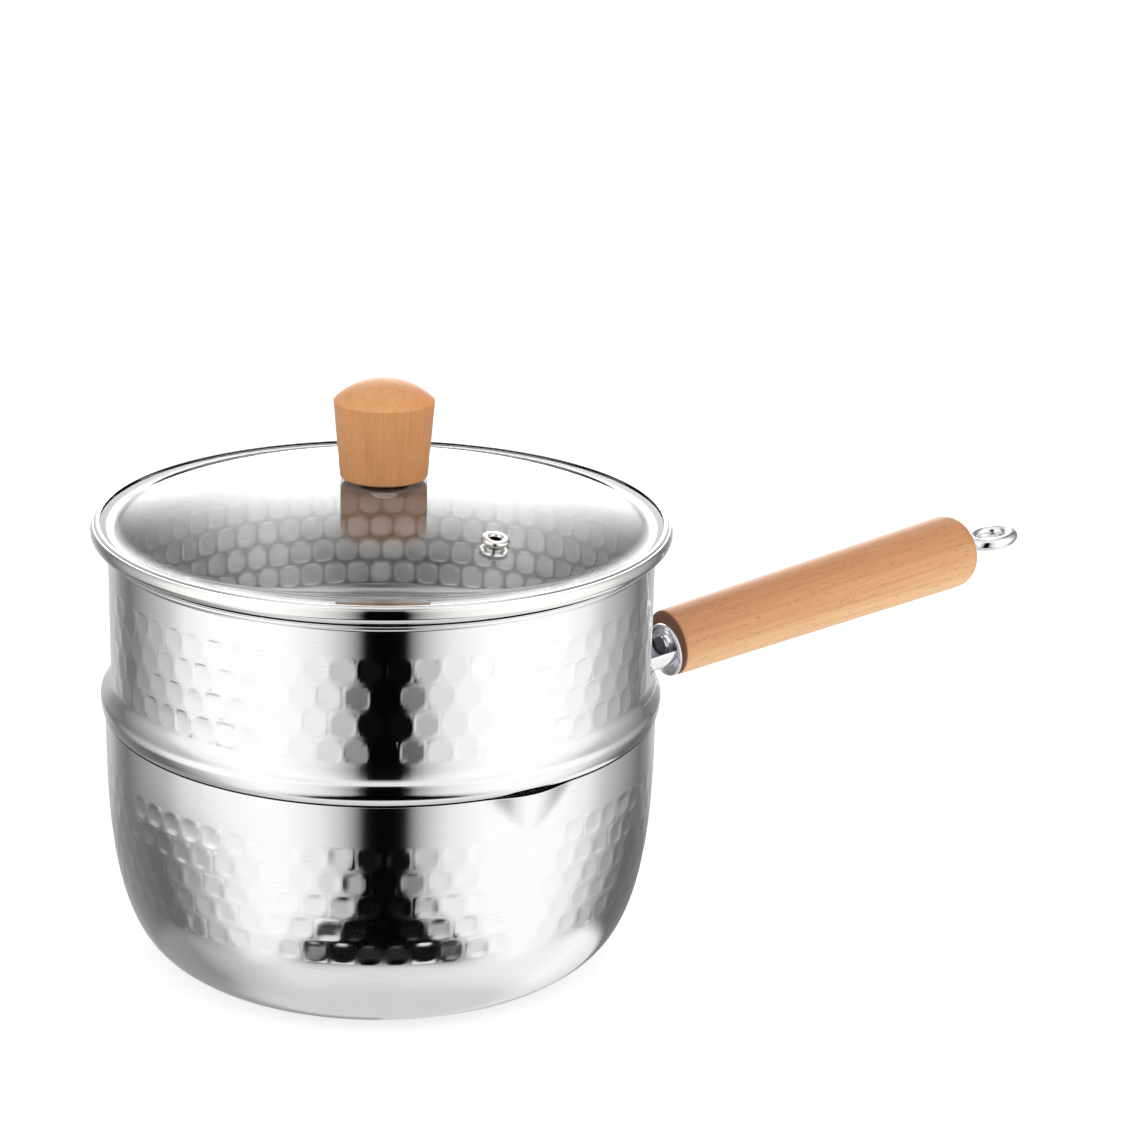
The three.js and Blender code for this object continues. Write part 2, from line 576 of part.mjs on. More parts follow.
// A saddle on the pan's wall, a half-round bar along the grip's axis with its flat side up, and a
// tapped boss through the guard into the grip.
function handleBracket() {
  const wall = PAN_RADIUS + SEAT_GAP;
  const middle = PAN_DEPTH - SADDLE_DROP;
  const outline = new THREE.Shape().absellipse(0, 0, SADDLE_WIDTH / 2, SADDLE_HEIGHT / 2, 0, 2 * Math.PI);
  const prism = new THREE.ExtrudeGeometry(outline, {
    depth: 2 * PAN_RADIUS, bevelEnabled: false, curveSegments: TURNED_SIDES / 4,
  });
  prism.rotateZ(Math.PI / 2).rotateY(Math.PI / 2).translate(0, 0, middle);
  const plateRing = tube(
    wall, wall + SADDLE_THICKNESS, middle - SADDLE_HEIGHT, middle + SADDLE_HEIGHT, 2 * TILE_COUNT,
  );
  const saddle = solid(plateRing).intersect(solid(prism));

  const frame = handleFrame();
  const tangEnd = -GUARD_FRONT - SEAT_GAP;
  const round = solid(bar(TANG_RADIUS, -HANDLE_START - TANG_RADIUS, tangEnd, TURNED_SIDES));
  const tang = geometryOf(round.trimByPlane([1, 0, 0], 0)).applyMatrix4(frame);
  const boss = bar(BOSS_RADIUS, tangEnd - SEAT_GAP, BOSS_REACH).applyMatrix4(frame);
  const threadEnd = BOSS_REACH - ROD_OVERLAP - SEAT_GAP;
  const thread = bar(GRIP_BORE_RADIUS, threadEnd, BOSS_REACH + OVERCUT).applyMatrix4(frame);
  const panSpace = bar(wall, 0, PAN_DEPTH + OVERCUT, 2 * TILE_COUNT);
  const joined = saddle.add(solid(tang)).add(solid(boss));
  return geometryOf(joined.subtract(solid(thread)).subtract(solid(panSpace)));
}

// A long ring to hang the pan by, on a tapped shank that draws the tie rod tight.
function hangingEye() {
  const stretch = EYE_LENGTH / EYE_WIDTH;
  const nearWire = GRIP_LENGTH + EYE_NECK + EYE_WIRE * stretch;
  const ring = new THREE.TorusGeometry(EYE_WIDTH, EYE_WIRE, EYE_WIRE_SIDES, TURNED_SIDES);
  ring.rotateY(Math.PI / 2).scale(1, 1, stretch).translate(0, 0, nearWire + EYE_LENGTH);
  const bottom = GRIP_LENGTH - EYE_SHANK_LENGTH;
  const shank = revolve([
    [0, bottom],
    [EYE_SHANK_RADIUS, bottom],
    [EYE_SHANK_RADIUS, GRIP_LENGTH],
    [EYE_NECK_RADIUS, GRIP_LENGTH],
    [EYE_NECK_RADIUS, nearWire],
    [0, nearWire],
  ], SMALL_SIDES);
  const tapping = bar(GRIP_BORE_RADIUS, bottom - OVERCUT, bottom + EYE_OVERLAP + SEAT_GAP);
  return geometryOf(solid(ring).add(solid(shank)).subtract(solid(tapping)));
}

function handleGroup() {
  const group = new THREE.Group();
  group.applyMatrix4(handleFrame());
  const rodEnd = GRIP_LENGTH - EYE_SHANK_LENGTH + EYE_OVERLAP;
  addPiece(group, "handle_grip", handleGrip(), beech);
  addPiece(group, "flame_guard", flameGuard(), chrome);
  addPiece(group, "tie_rod", bar(ROD_RADIUS, BOSS_REACH - ROD_OVERLAP, rodEnd), brightSteel);
  addPiece(group, "hanging_eye", hangingEye(), chrome);
  return group;
}

const saucepan = new THREE.Group();
addPiece(saucepan, "pan_body", panBody(), hammeredSteel);
addPiece(saucepan, "handle_bracket", handleBracket(), brightSteel);
saucepan.add(handleGroup());
addPiece(saucepan, "steamer_body", steamerBody(), hammeredSteel);
addPiece(saucepan, "lid_glass", lidGlass(), clearGlass);
addPiece(saucepan, "lid_band", lidBand(), brightSteel);
addPiece(saucepan, "lid_knob", knob(), beech);
addKnobFixings(saucepan);
saucepan.add(ventGroup());

export default saucepan;
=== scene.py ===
"""Looks of a hammered saucepan with a steamer tier and a glass lid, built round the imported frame.

Sizes are in millimetres in the row's frame: +Z up from the pan's underside, +X along the handle,
+Y and -Y towards the pouring lips. Meshes are made in metres. Every round piece is a profile of
(radius, height) points turned about an axis, and the hammered tiles are a change of radius on it.
"""

import math

import bpy
import numpy as np
from mathutils import Matrix, Quaternion, Vector


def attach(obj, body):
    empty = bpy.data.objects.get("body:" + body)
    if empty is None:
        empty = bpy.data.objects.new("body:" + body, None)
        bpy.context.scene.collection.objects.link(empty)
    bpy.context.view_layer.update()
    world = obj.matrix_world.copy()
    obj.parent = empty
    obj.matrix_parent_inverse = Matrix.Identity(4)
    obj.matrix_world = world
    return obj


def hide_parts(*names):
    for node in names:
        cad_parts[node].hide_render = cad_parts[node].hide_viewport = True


MM = 0.001
SHARP = math.radians(38)  # edges that bend more than this stay crisp

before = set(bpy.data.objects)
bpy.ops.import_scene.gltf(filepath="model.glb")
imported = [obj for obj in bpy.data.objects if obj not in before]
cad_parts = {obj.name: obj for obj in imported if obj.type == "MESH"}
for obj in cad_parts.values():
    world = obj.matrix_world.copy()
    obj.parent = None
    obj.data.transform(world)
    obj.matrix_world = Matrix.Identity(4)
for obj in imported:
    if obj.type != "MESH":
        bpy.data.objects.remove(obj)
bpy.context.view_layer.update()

# Shells
SHEET = 1.0
PAN_RADIUS = 91.0
PAN_DEPTH = 81.0
BASE_RADIUS = 67.0
CORNER_HEIGHT = 73.0
CORNER_POWER = 2.6
LIP_WIDTH = 34.0  # with its soft edges
LIP_REACH = 2.1
LIP_DEPTH = 13.0
STEAMER_RADIUS = 88.9
STEAMER_RIM = 138.5
RIM_ROUND = 0.75
RIM_RADIUS = 90.4
BEAD_RADIUS = 92.4
BEAD_WIDEST = 86.8
BEAD_TUCK = 1.7
BEAD_DROP = 5.3
BEAD_ROUND = 2.29
BEAD_ROUND_TURN = 47.7  # degrees, where the rounding meets the flare
SEAT = 81.3  # flat that rests on the pan's rim
SEAT_RADIUS = 90.4
FLARE_HIGH = 93.5
SPIGOT_RADIUS = 88.8
SPIGOT_CORNER = 5.0
FLOOR_BOTTOM = 67.0
HOLE_RADIUS = 4.0
HOLE_PITCH = 20.0
HOLE_RINGS = 3

# Hammered tiles
TILES = 66
TILE_TURN = 0.595  # of a tile, so that a seam in the top row faces the camera
TILE_DEPTH = 0.088
PAN_TILE_DEPTH = 0.074
TILE_DEPTH_INSIDE = 0.30
TILE_POWER = 5
TILE_CROWN = 250.0  # a tile's upright bend is y^2 over this
TILE_TILT = 0.008
STEAMER_ROWS = [123.9, 115.3, 106.7, 98.1]
STEAMER_PITCH = 8.6
PAN_ROWS = [63.9, 55.7, 47.5, 39.3, 31.1]
PAN_PITCH = 8.2

# Lid
BAND_RADIUS = 94.3
BAND_BOTTOM = 140.2
BAND_TOP = 145.6
BAND_SHEET = 0.7
BAND_GRIP = 2.2
BAND_STEP_RADIUS = 89.8
LID_SEAT = 138.8
SKIRT_RADIUS = 87.4
SKIRT_DEPTH = 5.0
GLASS_RADIUS = 93.3
GLASS_BOTTOM = 140.9
GLASS_THICKNESS = 4.0
DOME_RADIUS = 86.0
DOME_RISE = 13.6
KNOB_BASE = 158.8
KNOB_SIDE = 25.3
KNOB_CROWN = 6.8
KNOB_FOOT_RADIUS = 14.3
KNOB_FOOT_ROUND = 0.8
KNOB_TOP_RADIUS = 16.4
KNOB_BORE = 4.5
KNOB_BORE_DEPTH = 14.3
SEAT_GAP = 0.3
SCREW_RADIUS = 2.4
SCREW_HEAD_RADIUS = 4.6
SCREW_HOLE = 2.7
GASKET_THICKNESS = 0.6
UPPER_GASKET_RADIUS = 12.0
LOWER_GASKET_RADIUS = 9.0
WASHER_RADIUS = 8.0
WASHER_THICKNESS = 1.0
VENT_ANGLE = -85.5
VENT_CENTRE = 60.5
VENT_BORE = 1.8
VENT_TUBE = 2.8
VENT_ROLL = 0.9
COLLAR_HEIGHT = 1.8

# Handle
HANDLE_TILT = 6.1
HANDLE_FRONT = (116.6, 0.0, 80.7)
GRIP_LENGTH = 138.4
GRIP_FRONT_RADIUS = 11.9
GRIP_FRONT_ROUND = 1.2
GRIP_END_RADIUS = 13.8
GRIP_END_ROUND = 8.0
BOSS_RADIUS = 3.6
BOSS_REACH = 14.0
BORE_GAP = 0.3
ROD_BORE = 2.3
SHANK_RADIUS = 4.2
SHANK_LENGTH = 16.0
GUARD_RADIUS = 9.6
GUARD_DROP = 2.4
GUARD_DOME = 1.6
TANG_RADIUS = 8.0
TANG_EDGE = 0.8
TANG_START = -25.1
TANG_END = -1.2
SADDLE_MIDDLE = 72.5
SADDLE_WIDTH = 32.0
SADDLE_HEIGHT = 15.0
SADDLE_THICKNESS = 1.8
EYE_MIDDLE = 152.92
EYE_LENGTH = 8.4
EYE_WIDTH = 6.4
EYE_WIRE = 2.3

# Steel tones
SHELL_COLOUR = (0.90, 0.90, 0.905)
STREAK_TONE = (0.55, 0.55, 0.55, 1)
# Painted shade for the grooves between the tiles inside the shells
GROOVE_SHADE_TONE = (0.26, 0.26, 0.26, 1)

# Light levels by the angle round the object, in degrees from the camera's side
SLIT = [(0, 0.001), (8, 0.0015), (9.2, 0.06), (10.9, 0.20), (13.5, 0.36), (16.4, 0.50), (21.8, 0.69),
        (27, 0.83), (34, 0.91), (42, 1.0)]
HIGH_SIDES = [(0, 1.0), (78, 1.0), (92, 0.86), (102, 0.56), (112, 0.43), (122, 0.30), (133, 0.16),
              (144, 0.27), (154, 0.50), (180, 0.62)]
LOW_SIDES = [(0, 1.0), (63, 0.98), (75, 0.87), (82, 0.75), (90, 0.53), (100, 0.35), (110, 0.18),
             (120, 0.12), (140, 0.17), (160, 0.25), (180, 0.40)]
FLOOR_TONES = [(-180, 0.34), (-110, 0.26), (-91, 0.44), (-77, 0.54), (-50, 0.76), (0, 0.72), (48, 0.80),
               (94, 0.88), (114, 0.95), (180, 0.60)]
FOOT_TONE = (0.62, 0.62, 0.62, 1)
BACKDROP = (2.9, 2.9, 2.9, 1)
BACKDROP_TOP = (0.25, 0.25, 0.25, 1)
CEILING = (0.82, 0.82, 0.82, 1)

DOME_BEND = (DOME_RADIUS**2 + DOME_RISE**2) / (2 * DOME_RISE)
CROWN_BOTTOM = GLASS_BOTTOM + DOME_RISE


def arc(centre, radius, start, end, steps):
    """Points on a circle, from one angle in degrees to another."""
    a = np.radians(np.linspace(start, end, steps + 1))
    return np.stack([centre[0] + radius * np.cos(a), centre[1] + radius * np.sin(a)], 1)


def path(*parts):
    """One profile from points and runs of points."""
    return np.concatenate([np.atleast_2d(np.asarray(p, float)) for p in parts])


def smoothstep(value, low, high):
    """3 t^2 - 2 t^3 with t from 0 at low to 1 at high."""
    t = np.clip((value - low) / (high - low), 0, 1)
    return t * t * (3 - 2 * t)


def add_mesh(name, verts, quads, tris=()):
    """A smooth-shaded object from vertices in millimetres, quads and triangles."""
    quads = np.asarray(quads, np.int32).reshape(-1, 4)
    tris = np.asarray(tris, np.int32).reshape(-1, 3)
    totals = np.concatenate([np.full(len(quads), 4), np.full(len(tris), 3)]).astype(np.int32)
    loops = np.concatenate([quads.ravel(), tris.ravel()]).astype(np.int32)
    mesh = bpy.data.meshes.new(name)
    mesh.vertices.add(len(verts))
    mesh.vertices.foreach_set("co", (np.asarray(verts) * MM).astype(np.float32).ravel())
    mesh.loops.add(len(loops))
    mesh.loops.foreach_set("vertex_index", loops)
    mesh.polygons.add(len(totals))
    starts = np.concatenate([[0], np.cumsum(totals)[:-1]]).astype(np.int32)
    mesh.polygons.foreach_set("loop_start", starts)
    mesh.polygons.foreach_set("use_smooth", np.ones(len(totals), bool))
    mesh.update(calc_edges=True)
    mesh.validate()
    mesh.set_sharp_from_angle(angle=SHARP)
    obj = bpy.data.objects.new(name, mesh)
    bpy.context.scene.collection.objects.link(obj)
    return obj


def grid_quads(rows, columns, wrap_rows=False):
    """Quads over a grid of rows and columns of points, whose columns close into a ring."""
    i = np.arange(rows if wrap_rows else rows - 1)[:, None]
    j = np.arange(columns)[None]
    low, high = i * columns, ((i + 1) % rows) * columns
    beside = (j + 1) % columns
    return np.stack([low + j, low + beside, high + beside, high + j], -1).reshape(-1, 4)


def exact_normals(mesh, shape, a, r, z, number, side):
    """Gives marked rows of a turned wall the exact normals of its surface r(a, z).

    With slopes r_a and r_z the normal is (cos a + r_a sin a / r, sin a - r_a cos a / r, -r_z), and
    side is 1 on rows outside, -1 on rows inside and 0 on rows that keep the mesh's own normals.
    """
    da, dz = 1e-4, 1e-3
    marked = side != 0
    with np.errstate(divide="ignore", invalid="ignore"):
        slope = np.where(marked, np.gradient(r[:, 0]) / np.gradient(z[:, 0]), 0)[:, None]
    here = shape(a, r, z, number)
    r_a = (shape(a + da, r, z, number) - shape(a - da, r, z, number)) / (2 * da)
    r_z = (shape(a, r + slope * dz, z + dz, number) - shape(a, r - slope * dz, z - dz, number)) / (2 * dz)
    normals = np.stack([np.cos(a) + r_a / here * np.sin(a), np.sin(a) - r_a / here * np.cos(a), -r_z], -1)
    normals *= side[:, None, None] / np.linalg.norm(normals, axis=-1, keepdims=True)
    corners = np.empty(len(mesh.loops) * 3, np.float32)
    mesh.corner_normals.foreach_get("vector", corners)
    corners = corners.reshape(-1, 3)
    index = np.empty(len(mesh.loops), np.int32)
    mesh.loops.foreach_get("vertex_index", index)
    known = np.zeros(len(mesh.vertices), bool)
    known[: a.size] = np.repeat(marked, a.shape[1])
    chosen = known[index]
    corners[chosen] = normals.reshape(-1, 3)[index[chosen]]
    mesh.normals_split_custom_set(corners.tolist())


def turn(name, profile, columns=128, closed=False, shape=None, place=None, side=None):
    """A profile of (radius, height) turned about +Z: (r, z) goes to (r cos a, r sin a, z).

    Going along the profile, the outside is on the right. A first or last radius of 0 becomes one
    point on the axis. shape(a, r, z, i) may change the radius, where i numbers the profile's points,
    and side marks the points whose rows get exact normals.
    """
    profile = np.asarray(profile, float)
    a = np.linspace(0, 2 * math.pi, columns, endpoint=False) if np.isscalar(columns) else columns
    first = not closed and profile[0, 0] < 1e-6
    last = not closed and profile[-1, 0] < 1e-6
    used = slice(int(first), len(profile) - int(last))
    rows = profile[used]
    base = np.repeat(rows[:, :1], len(a), 1)
    z = np.repeat(rows[:, 1:], len(a), 1)
    angle = np.repeat(a[None], len(rows), 0)
    number = np.arange(len(rows))[:, None] + int(first)
    r = shape(angle, base, z, number) if shape else base
    verts = np.stack([r * np.cos(angle), r * np.sin(angle), z], -1).reshape(-1, 3)
    n, m = len(rows), len(a)
    tris = []
    j = np.arange(m)
    if first:
        tris.append(np.stack([np.full(m, len(verts)), (j + 1) % m, j], -1))
        verts = np.vstack([verts, [0, 0, profile[0, 1]]])
    if last:
        edge = (n - 1) * m
        tris.append(np.stack([np.full(m, len(verts)), edge + j, edge + (j + 1) % m], -1))
        verts = np.vstack([verts, [0, 0, profile[-1, 1]]])
    obj = add_mesh(name, verts, grid_quads(n, m, closed), np.concatenate(tris) if tris else ())
    if side is not None:
        exact_normals(obj.data, shape, angle, base, z, number, np.asarray(side)[used])
    if place is not None:
        obj.data.transform(place)
    return obj


def cut(obj, cutter):
    """Takes one closed mesh out of another and drops the cutter."""
    boolean = obj.modifiers.new("cut", "BOOLEAN")
    boolean.operation = "DIFFERENCE"
    boolean.object = cutter
    bpy.context.view_layer.update()
    evaluated = obj.evaluated_get(bpy.context.evaluated_depsgraph_get())
    obj.data = bpy.data.meshes.new_from_object(evaluated)
    obj.modifiers.clear()
    obj.data.set_sharp_from_angle(angle=SHARP)
    bpy.data.objects.remove(cutter)
    return obj


def tile_columns():
    """Angles round the wall, close together where tiles of either kind of row have their edges."""
    step = np.array([-0.14, -0.07, 0, 0.07, 0.14, 0.36, 0.43, 0.5, 0.57, 0.64])
    turned = (np.arange(TILES)[:, None] + step[None]).ravel() + TILE_TURN
    return (turned * 2 * math.pi / TILES) % (2 * math.pi)


def tile_heights(rows, pitch):
    """Heights up the wall, close together at the edges of each row of tiles."""
    step = np.array([-0.5, -0.43, -0.36, -0.18, 0.0, 0.18, 0.36, 0.43, 0.5])
    return np.unique(np.round([z + s * pitch for z in rows for s in step], 3))


def hammer(a, r, z, rows, pitch, depth, soft, seed):
    """How far the hammered tiles move the wall inward at angle a and height z.

    With x along the wall and y up it from the tile's middle, half width w, half height h and power
    p, the mask is 1 - smoothstep of q = (|x/w|^p + |y/h|^p)^(1/p) from soft to 1. The depth is
    mask (D - x^2 / 2r - y^2 / C + tilt), where the second term makes the curved wall flat.
    """
    rng = np.random.default_rng(seed)
    total = np.zeros_like(a)
    width = 2 * math.pi * r / TILES
    for k, middle in enumerate(rows):
        turned = a * TILES / (2 * math.pi) - 0.5 * (k % 2) - TILE_TURN
        index = np.round(turned).astype(int) % TILES
        x = (turned - np.round(turned)) * width
        y = z - middle
        tilt_x = rng.normal(0, TILE_TILT, TILES)[index]
        tilt_y = rng.normal(0, TILE_TILT, TILES)[index]
        powers = np.abs(2 * x / width) ** TILE_POWER + np.abs(2 * y / pitch) ** TILE_POWER
        q = powers ** (1 / TILE_POWER)
        mask = 1 - smoothstep(q, soft, 1.0)
        total += mask * (depth - x**2 / (2 * r) - y**2 / TILE_CROWN + tilt_x * x + tilt_y * y)
    return total


def lip(a, r, z):
    """The wall's radius with a soft pouring lip pressed out of it at +Y and -Y.

    With k = 1 - (rim - z) / depth and s the distance along the wall from the lip's middle, the wall
    moves out by reach k (1 - (s / w)^2)^2, where w = half width k^0.6.
    """
    k = np.clip(1 - (PAN_DEPTH - z) / LIP_DEPTH, 0, 1)
    t = np.abs(np.mod(a + math.pi, 2 * math.pi) - math.pi) - math.pi / 2
    width = np.maximum(0.5 * LIP_WIDTH * k**0.6, 1e-6)
    return r + LIP_REACH * k * np.clip(1 - (r * np.sin(t) / width) ** 2, 0, 1) ** 2


def pan_shell():
    """The pan: foot, large rounded corner, hammered wall, rim, and the same again inside.

    The corner is a superellipse: r = base + (R - base) sin^(2/p) t, z = H (1 - cos^(2/p) t).
    """
    power = 2 / CORNER_POWER
    t = np.radians(np.linspace(0, 90, 200))
    r = BASE_RADIUS + (PAN_RADIUS - BASE_RADIUS) * np.sin(t) ** power
    z = CORNER_HEIGHT * (1 - np.cos(t) ** power)
    fine = tile_heights(PAN_ROWS, PAN_PITCH)
    top = np.linspace(fine[-1] + 0.8, PAN_DEPTH - 0.15, 12)
    low = CORNER_HEIGHT * (1 - np.cos(np.radians(np.linspace(0, 90, 30))) ** power)
    low = np.concatenate([[0.0, 0.15, 0.5, 1.1, 2.0], low[(low > 3) & (low < fine[0] - 0.6)]])
    heights = np.concatenate([low, fine, top])
    outside = np.stack([np.interp(heights, z, r, right=PAN_RADIUS), heights], 1)
    slope = np.gradient(outside, axis=0)
    slope /= np.linalg.norm(slope, axis=1)[:, None]
    slope[0] = (1, 0)
    inside = outside + np.stack([-slope[:, 1], slope[:, 0]], 1) * SHEET
    rim = [[PAN_RADIUS - 0.15, PAN_DEPTH], [PAN_RADIUS - SHEET + 0.15, PAN_DEPTH]]
    profile = path([0, 0], [30, 0], [BASE_RADIUS - 1, 0], outside, rim, inside[::-1], [30, SHEET], [0, SHEET])
    half = 3 + len(outside) + 1

    def shape(a, r, z, i):
        out = hammer(a, r, z, PAN_ROWS, PAN_PITCH, PAN_TILE_DEPTH, 0.64, 5)
        back = hammer(a, r, z, PAN_ROWS, PAN_PITCH, TILE_DEPTH_INSIDE, 0.72, 5)
        return lip(a, r, z) - np.where(i < half, out, back)

    wall = (profile[:, 1] > fine[0] - 0.5) & (profile[:, 1] < PAN_DEPTH - 0.5)
    side = np.where(wall, np.where(np.arange(len(profile)) < half, 1, -1), 0)
    return turn("pan_shell", profile, tile_columns(), shape=shape, side=side)


def steamer_shell():
    """The steamer: spigot, seat, round bead, flare, hammered wall, rim lip, and back down inside.

    Up from the seat the bead is a quarter of an ellipse, r = R - t (1 - cos p), z = w - d sin p, then an
    arc, then the flare r = wall + (foot - wall) u^2 for u from 1 at its foot to 0.
    """
    p = np.radians(np.linspace(84, 0, 9))
    lower = np.stack([BEAD_RADIUS - BEAD_TUCK * (1 - np.cos(p)), BEAD_WIDEST - BEAD_DROP * np.sin(p)], 1)
    shoulder = arc((BEAD_RADIUS - BEAD_ROUND, BEAD_WIDEST), BEAD_ROUND, 0, BEAD_ROUND_TURN, 6)
    foot = shoulder[-1]
    u = np.linspace(1, 0, 10)[1:]
    flare = np.stack([STEAMER_RADIUS + (foot[0] - STEAMER_RADIUS) * u**2,
                      FLARE_HIGH - (FLARE_HIGH - foot[1]) * u], 1)
    bead = path(lower, shoulder[1:], flare)
    under_rim = STEAMER_RIM - 2 * RIM_ROUND
    fine = np.append(tile_heights(STEAMER_ROWS, STEAMER_PITCH), under_rim - np.array([6.0, 3.0, 1.0]))
    wall = np.stack([np.full(len(fine), STEAMER_RADIUS), fine], 1)
    corner = (SPIGOT_RADIUS - SPIGOT_CORNER, FLOOR_BOTTOM + SPIGOT_CORNER)
    inner = np.array([SHEET, 0.0])
    outside = path(
        [corner[0] - 1.0, FLOOR_BOTTOM], arc(corner, SPIGOT_CORNER, -90, 0, 6), [SPIGOT_RADIUS, SEAT - 0.2],
        [SPIGOT_RADIUS + 0.2, SEAT], [SEAT_RADIUS - 0.2, SEAT], [SEAT_RADIUS + 0.2, SEAT + 0.15],
        bead, wall,
        [STEAMER_RADIUS, under_rim - 0.5], [STEAMER_RADIUS + 0.15, under_rim - 0.12],
        arc((RIM_RADIUS - RIM_ROUND, STEAMER_RIM - RIM_ROUND), RIM_ROUND, -90, 90, 8),
    )
    profile = path(
        outside,
        arc((STEAMER_RADIUS - 0.2, STEAMER_RIM - 0.8), 0.8, 90, 180, 4), (wall - inner)[::-1],
        (bead - inner)[:3:-2],
        [SEAT_RADIUS - SHEET, SEAT + SHEET], [SPIGOT_RADIUS - SHEET + 0.3, SEAT + SHEET],
        [SPIGOT_RADIUS - SHEET, SEAT + SHEET - 0.4], arc(corner, SPIGOT_CORNER - SHEET, 0, -90, 6),
        [corner[0] - 1.0, FLOOR_BOTTOM + SHEET],
    )

    def shape(a, r, z, i):
        out = hammer(a, r, z, STEAMER_ROWS, STEAMER_PITCH, TILE_DEPTH, 0.72, 9)
        back = hammer(a, r, z, STEAMER_ROWS, STEAMER_PITCH, TILE_DEPTH_INSIDE, 0.72, 9)
        return r - np.where(i < len(outside), out, back)

    tiled = (profile[:, 1] > fine[0] - 0.01) & (profile[:, 1] < fine[-1] + 0.01)
    side = np.where(tiled, np.where(np.arange(len(profile)) < len(outside), 1, -1), 0)
    return turn("steamer_shell", profile, tile_columns(), closed=True, shape=shape, side=side)


def steamer_floor():
    """The steamer's floor plate with rings of steam holes cut through it."""
    radius = SPIGOT_RADIUS - SPIGOT_CORNER - 0.9
    plate = turn("steamer_floor", [[0, FLOOR_BOTTOM], [radius, FLOOR_BOTTOM], [radius, FLOOR_BOTTOM + SHEET],
                                   [0, FLOOR_BOTTOM + SHEET]], 132)
    spots = [(0.0, 0.0)]
    for ring in range(1, HOLE_RINGS + 1):
        for i in range(6 * ring):
            a = 2 * math.pi * i / (6 * ring)
            spots.append((ring * HOLE_PITCH * math.cos(a), ring * HOLE_PITCH * math.sin(a)))
    sides = 32
    angles = np.linspace(0, 2 * math.pi, sides, endpoint=False)
    verts, faces = [], []
    for n, (x, y) in enumerate(spots):
        base = n * 2 * sides
        for z in (FLOOR_BOTTOM - 2, FLOOR_BOTTOM + SHEET + 2):
            verts += [((x + HOLE_RADIUS * math.cos(t)) * MM, (y + HOLE_RADIUS * math.sin(t)) * MM, z * MM)
                      for t in angles]
        faces += [(base + i, base + (i + 1) % sides, base + sides + (i + 1) % sides, base + sides + i)
                  for i in range(sides)]
        faces.append(tuple(base + sides - 1 - i for i in range(sides)))
        faces.append(tuple(base + sides + i for i in range(sides)))
    mesh = bpy.data.meshes.new("steam_drills")
    mesh.from_pydata(verts, [], faces)
    drills = bpy.data.objects.new("steam_drills", mesh)
    bpy.context.scene.collection.objects.link(drills)
    return cut(plate, drills)


def dome(radius, raised):
    """Height of the glass at a radius: a ball of radius B, dropped by B - sqrt(B^2 - r^2)."""
    radius = np.asarray(radius, float)
    return CROWN_BOTTOM + raised - (DOME_BEND - np.sqrt(DOME_BEND**2 - radius**2))


def lid_glass(vent):
    """The domed disc, with holes for the knob's screw and the vent."""
    r = np.linspace(3.0, DOME_RADIUS - 2, 40)
    under = np.stack([r, dome(r, 0)], 1)
    over = np.stack([r, dome(r, GLASS_THICKNESS)], 1)
    bend = np.linspace(0, 1, 7)[1:-1]
    fall = dome(DOME_RADIUS - 2, 0) - GLASS_BOTTOM
    blend = np.stack([DOME_RADIUS - 2 + 4 * bend, GLASS_BOTTOM + fall * (1 - bend) ** 2], 1)
    up = np.array([0, GLASS_THICKNESS])
    edge = GLASS_RADIUS
    disc = turn("lid_glass_dome", path(
        under, blend, [DOME_RADIUS + 2, GLASS_BOTTOM], [edge - 0.8, GLASS_BOTTOM], [edge, GLASS_BOTTOM + 0.8],
        [edge, GLASS_BOTTOM + GLASS_THICKNESS - 0.8], [edge - 0.8, GLASS_BOTTOM + GLASS_THICKNESS],
        [DOME_RADIUS + 2, GLASS_BOTTOM + GLASS_THICKNESS], (blend + up)[::-1], over[::-1],
    ), 256, closed=True)
    drill = turn("vent_drill", [[0, -8], [2.6, -8], [2.6, 4], [0, 4]], 48, place=vent)
    return cut(disc, drill)


def lid_band():
    """The steel band: skirt inside the steamer, seat, step, rounded edge and lip over the glass."""
    inside = BAND_RADIUS - BAND_SHEET
    thin = BAND_SHEET
    fold = 0.25
    big = 2.6
    return turn("lid_band_ring", path(
        [SKIRT_RADIUS - thin, LID_SEAT - SKIRT_DEPTH], [SKIRT_RADIUS, LID_SEAT - SKIRT_DEPTH],
        [SKIRT_RADIUS, LID_SEAT - 0.4], [SKIRT_RADIUS + 0.4, LID_SEAT],
        [BAND_STEP_RADIUS - 0.3, LID_SEAT], [BAND_STEP_RADIUS, LID_SEAT + 0.3],
        [BAND_STEP_RADIUS, BAND_BOTTOM - 0.3], [BAND_STEP_RADIUS + 0.3, BAND_BOTTOM],
        arc((BAND_RADIUS - 2.2, BAND_BOTTOM + 2.2), 2.2, -90, 0, 10),
        arc((BAND_RADIUS - big, BAND_TOP - big), big, 0, 90, 12),
        arc((inside - BAND_GRIP + fold, BAND_TOP - fold), fold, 90, 270, 6),
        [inside, BAND_TOP - 2 * fold], [inside, BAND_BOTTOM + thin],
        [BAND_STEP_RADIUS - thin + 0.2, BAND_BOTTOM + thin],
        [BAND_STEP_RADIUS - thin, BAND_BOTTOM + thin - 0.2], [BAND_STEP_RADIUS - thin, LID_SEAT + thin + 0.2],
        [BAND_STEP_RADIUS - thin - 0.2, LID_SEAT + thin], [SKIRT_RADIUS - thin + 0.4, LID_SEAT + thin],
        [SKIRT_RADIUS - thin, LID_SEAT + thin - 0.4],
    ), 256, closed=True)


